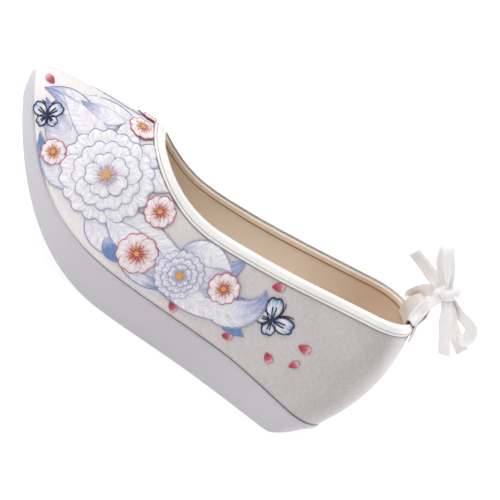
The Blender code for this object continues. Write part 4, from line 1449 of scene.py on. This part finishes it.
Scroll = namedtuple("Scroll", "at up length wide start bend curl layer colours")
SCROLLS = (
    Scroll(0.196, 0.054, 0.046, 0.0180, 4.0, 24.0, 10.0, 0, BLUE_TIP),
    Scroll(0.194, 0.064, 0.040, 0.0150, 30.0, -34.0, 20.0, 1, PALE_TIP),
    Scroll(0.194, 0.046, 0.040, 0.0140, -22.0, 40.0, 34.0, 1, DEEP_TIP),
    Scroll(0.186, 0.066, 0.030, 0.0140, 74.0, -20.0, 10.0, 0, PALE_TIP),
    Scroll(0.178, 0.062, 0.034, 0.0130, 130.0, 30.0, 20.0, 0, PALE_TIP),
    Scroll(0.184, 0.040, 0.030, 0.0120, 225.0, -40.0, -10.0, 0, PALE_TIP),
    Scroll(0.178, 0.050, 0.056, 0.0190, 196.0, -22.0, -20.0, 1, PALE_TIP),
    Scroll(0.176, 0.042, 0.056, 0.0170, 192.0, -26.0, 26.0, 2, BLUE_TIP),
    Scroll(0.138, 0.046, 0.046, 0.0180, 178.0, -30.0, -60.0, 0, BLUE_TIP),
    Scroll(0.142, 0.036, 0.054, 0.0180, 184.0, -22.0, -34.0, 1, DEEP_TIP),
    Scroll(0.136, 0.040, 0.044, 0.0150, 204.0, -50.0, 20.0, 2, PALE_TIP),
    Scroll(0.136, 0.054, 0.030, 0.0130, 150.0, 24.0, 20.0, 1, PALE_TIP),
    Scroll(0.110, 0.040, 0.042, 0.0170, 192.0, -66.0, -70.0, 2, BLUE_TIP),
    Scroll(0.160, 0.031, 0.040, 0.0110, 186.0, -12.0, -10.0, 0, DEEP_TIP),
    Scroll(0.204, 0.069, 0.034, 0.0150, 14.0, -10.0, 6.0, 0, BLUE_TIP),
    Scroll(0.200, 0.071, 0.026, 0.0140, 62.0, -24.0, 0.0, 0, PALE_TIP),
    Scroll(0.180, 0.068, 0.025, 0.0140, 100.0, 16.0, 0.0, 1, PALE_TIP),
    Scroll(0.188, 0.0815, 0.034, 0.0150, 4.0, -8.0, 0.0, 0, PALE_TIP),
    Scroll(0.196, 0.0790, 0.026, 0.0110, -20.0, 24.0, 10.0, 1, BLUE_TIP),
    Scroll(0.214, 0.0740, 0.027, 0.0110, 0.0, -14.0, 6.0, 0, BLUE_TIP),
    Scroll(0.124, 0.0580, 0.017, 0.0095, 158.0, 24.0, 10.0, 0, BLUE_LEAF),
    Scroll(0.170, 0.0340, 0.017, 0.0090, 212.0, -30.0, 0.0, 2, BLUE_LEAF),
    Scroll(0.096, 0.0400, 0.018, 0.0090, 214.0, -40.0, 0.0, 0, BLUE_LEAF),
)
Spot = namedtuple("Spot", "at up size turn")
BLOSSOMS = (
    Spot(0.157, 0.061, 0.0165, 20.0), Spot(0.152, 0.038, 0.0215, 50.0), Spot(0.105, 0.050, 0.0170, 5.0),
    Spot(0.216, 0.048, 0.0130, 40.0), Spot(0.187, 0.0815, 0.0150, 12.0),
)
PETALS = (
    Spot(0.236, 0.070, 0.0060, 30.0), Spot(0.121, 0.027, 0.0062, 200.0),
    Spot(0.086, 0.066, 0.0070, 150.0), Spot(0.064, 0.036, 0.0065, 210.0), Spot(0.054, 0.050, 0.0072, 170.0),
    Spot(0.050, 0.038, 0.0060, 120.0), Spot(0.088, 0.029, 0.0060, 160.0),
)
BUTTERFLIES = (Spot(0.074, 0.052, 0.0240, 25.0), Spot(0.229, 0.058, 0.0180, -35.0))
PEONIES = (
    (Spot(0.188, 0.057, 0.0500, 8.0), LARGE_PEONY),
    (Spot(0.128, 0.042, 0.0270, 30.0), SMALL_PEONY),
)
FIRST_LAYER = 0.0002
LAYER = 0.00024
INNER_SHIFT = -0.004


def embroider(name, skin, side, shift):
    """All the needlework of one side, its motifs shifted along the shoe."""
    work = Needlework(skin)

    def anchor(motif):
        """Skin point and directions at a motif's place."""
        return work.frame_at(side, motif.at + shift, motif.up)

    for scroll in SCROLLS:
        leaf(work, anchor(scroll), scroll, FIRST_LAYER + LAYER * scroll.layer)
    for spot, kind in PEONIES:
        peony(work, anchor(spot), spot.size, spot.turn, kind)
    for make, spots in ((blossom, BLOSSOMS), (loose_petal, PETALS), (butterfly, BUTTERFLIES)):
        for spot in spots:
            make(work, anchor(spot), spot.size, spot.turn)
    return work.finish(name)


# Light and camera

VIEW_AZIMUTH = 165.0
VIEW_ELEVATION = 17.0
VIEW_ROLL = 43.2
VIEW_WIDTH = 0.262
VIEW_DISTANCE = 1.25
AIM = Vector((-0.0241, 0.0, 0.0644))
SENSOR = 36.0
Sun = namedtuple("Sun", "toward spread strength")
SUNS = {
    "key": Sun((0.56, 0.08, 0.83), 90.0, 3.15),
    "rim": Sun((-0.88, -0.36, 0.20), 44.0, 3.0),
}
SKY_STRENGTH = 0.20
FLOOR_REACH = 12.0
FLOOR_GLOW = 2.45
FLOOR_DARK = (0.30, 0.30, 0.30, 1.0)
FLOOR_LIGHT = (0.33, 0.33, 0.33, 1.0)


def place_camera():
    """Camera at the photo's angle to the shoe, turned about its own axis by the photo's roll."""
    a, e = math.radians(VIEW_AZIMUTH), math.radians(VIEW_ELEVATION)
    back = Vector((math.sin(a) * math.cos(e), -math.cos(a) * math.cos(e), math.sin(e)))
    data = bpy.data.cameras.new("camera")
    data.sensor_width = SENSOR
    data.lens = SENSOR * VIEW_DISTANCE / VIEW_WIDTH
    camera = bpy.data.objects.new("camera", data)
    turn = (-back).to_track_quat("-Z", "Y").to_matrix() @ Matrix.Rotation(math.radians(VIEW_ROLL), 3, "Z")
    camera.matrix_world = Matrix.Translation(AIM + back * VIEW_DISTANCE) @ turn.to_4x4()
    bpy.context.collection.objects.link(camera)
    bpy.context.scene.camera = camera


def add_sun(name, sun):
    """Soft even light from a direction: its spread in degrees gives the softness of its shadows."""
    data = bpy.data.lights.new(name, "SUN")
    data.energy = sun.strength
    data.angle = math.radians(sun.spread)
    light = bpy.data.objects.new(name, data)
    light.rotation_mode = "QUATERNION"
    light.rotation_quaternion = (-Vector(sun.toward)).to_track_quat("-Z", "Y")
    bpy.context.collection.objects.link(light)


def studio():
    """Pale floor, white surroundings and soft even light, the main one from above and ahead of the toe."""
    bpy.context.scene.view_settings.view_transform = "Standard"
    world = bpy.data.worlds.new("studio")
    world.use_nodes = True
    world.node_tree.nodes["Background"].inputs["Color"].default_value = (1.0, 1.0, 1.0, 1.0)
    world.node_tree.nodes["Background"].inputs["Strength"].default_value = SKY_STRENGTH
    bpy.context.scene.world = world
    for name, sun in SUNS.items():
        add_sun(name, sun)
    material, tree, body = surface("floor", FLOOR_FINISH)
    pale = ramp(tree, noise(tree, "object", FLOOR_CLOUDS, detail=2.0), FLOOR_DARK, FLOOR_LIGHT)
    tree.links.new(pale, body.inputs["Base Color"])
    tree.links.new(pale, body.inputs["Emission Color"])
    body.inputs["Emission Strength"].default_value = FLOOR_GLOW
    corners = np.array(((-1.0, -1.0, 0.0), (1.0, -1.0, 0.0), (1.0, 1.0, 0.0), (-1.0, 1.0, 0.0)))
    floor = mesh_object("floor", FLOOR_REACH * corners, np.array(((0, 1, 2, 3),)))
    floor.data.materials.append(material)


# Making the shoe

place_camera()
studio()
cloths = {name: cloth_material(name, cloth) for name, cloth in CLOTHS.items()}
leathers = {name: leather_material(name, leather) for name, leather in LEATHERS.items()}
foam = foam_material("foam")
threads = thread_material("threads")

dress(grid_piece("sole_platform", sole_grid(), False), foam, "sole", "sole")
dress(grid_piece("footbed", insole_grid(), False), leathers["insole_leather"], "insole", "insole")
skin = upper_grid()
dress(grid_piece("upper_satin", skin, True), cloths["satin"], "upper", "upper")
dress(grid_piece("lining", lining_grid(), True), leathers["lining_leather"], "insole")
dress(grid_piece("facing", facing_grid(FACING), True), leathers["facing_leather"], "insole")
# Painted shadow line under the facing, as a thin dark cord
dress(grid_piece("facing_shadow_cord", facing_grid(FACING_SHADOW_CORD), True), leathers["shadow_cord_leather"], "insole")
binding_points = binding_grid()
dress(grid_piece("binding", binding_points, True), cloths["band_cloth"], "binding", "collar_binding")
stitch_up = outward(binding_points)[PIPING_ROWS + GROOVE_ROWS]
stitches = stitch_row("binding_stitches", binding_points[STITCH_LINE_ROW], stitch_up)
dress(stitches, cloths["band_cloth"], "binding")
# Grey seam threads that also paint the shade in the groove and under the piping
for seam_and_shade_name, seam in SEAM_AND_SHADE_LINES.items():
    dress(grid_piece(seam_and_shade_name, seam_and_shade_grid(seam), True), cloths["seam_and_shade_cloth"], "binding")
dress(grid_piece("ribbon_loop", loop_grid(), False), cloths["loop_cloth"], "heel_loop", "heel_loop")
dress(embroider("embroidery_outer", skin, 1.0, 0.0), threads, "upper")
dress(embroider("embroidery_inner", skin, -1.0, INNER_SHIFT), threads, "upper")

knot = dress(grid_piece("knot", knot_grid(), True), cloths["ribbon_cloth"], "ribbon", "bow_knot")
for seed, (ribbon_name, parts) in enumerate(RIBBONS.items()):
    into_knot = strand_rows(parts.into) if parts.into in STRANDS else tie_rows()
    ribbon_rows = through_knot(into_knot, strand_rows(parts.out_of))
    ribbon_points, ribbon_uv, ribbon_path, ribbon_length = ribbon_grid(ribbon_rows, float(seed))
    ribbon = grid_piece(ribbon_name, ribbon_points, True, ribbon_uv)
    dress(ribbon, cloths["ribbon_cloth"], "ribbon", *parts.nodes)
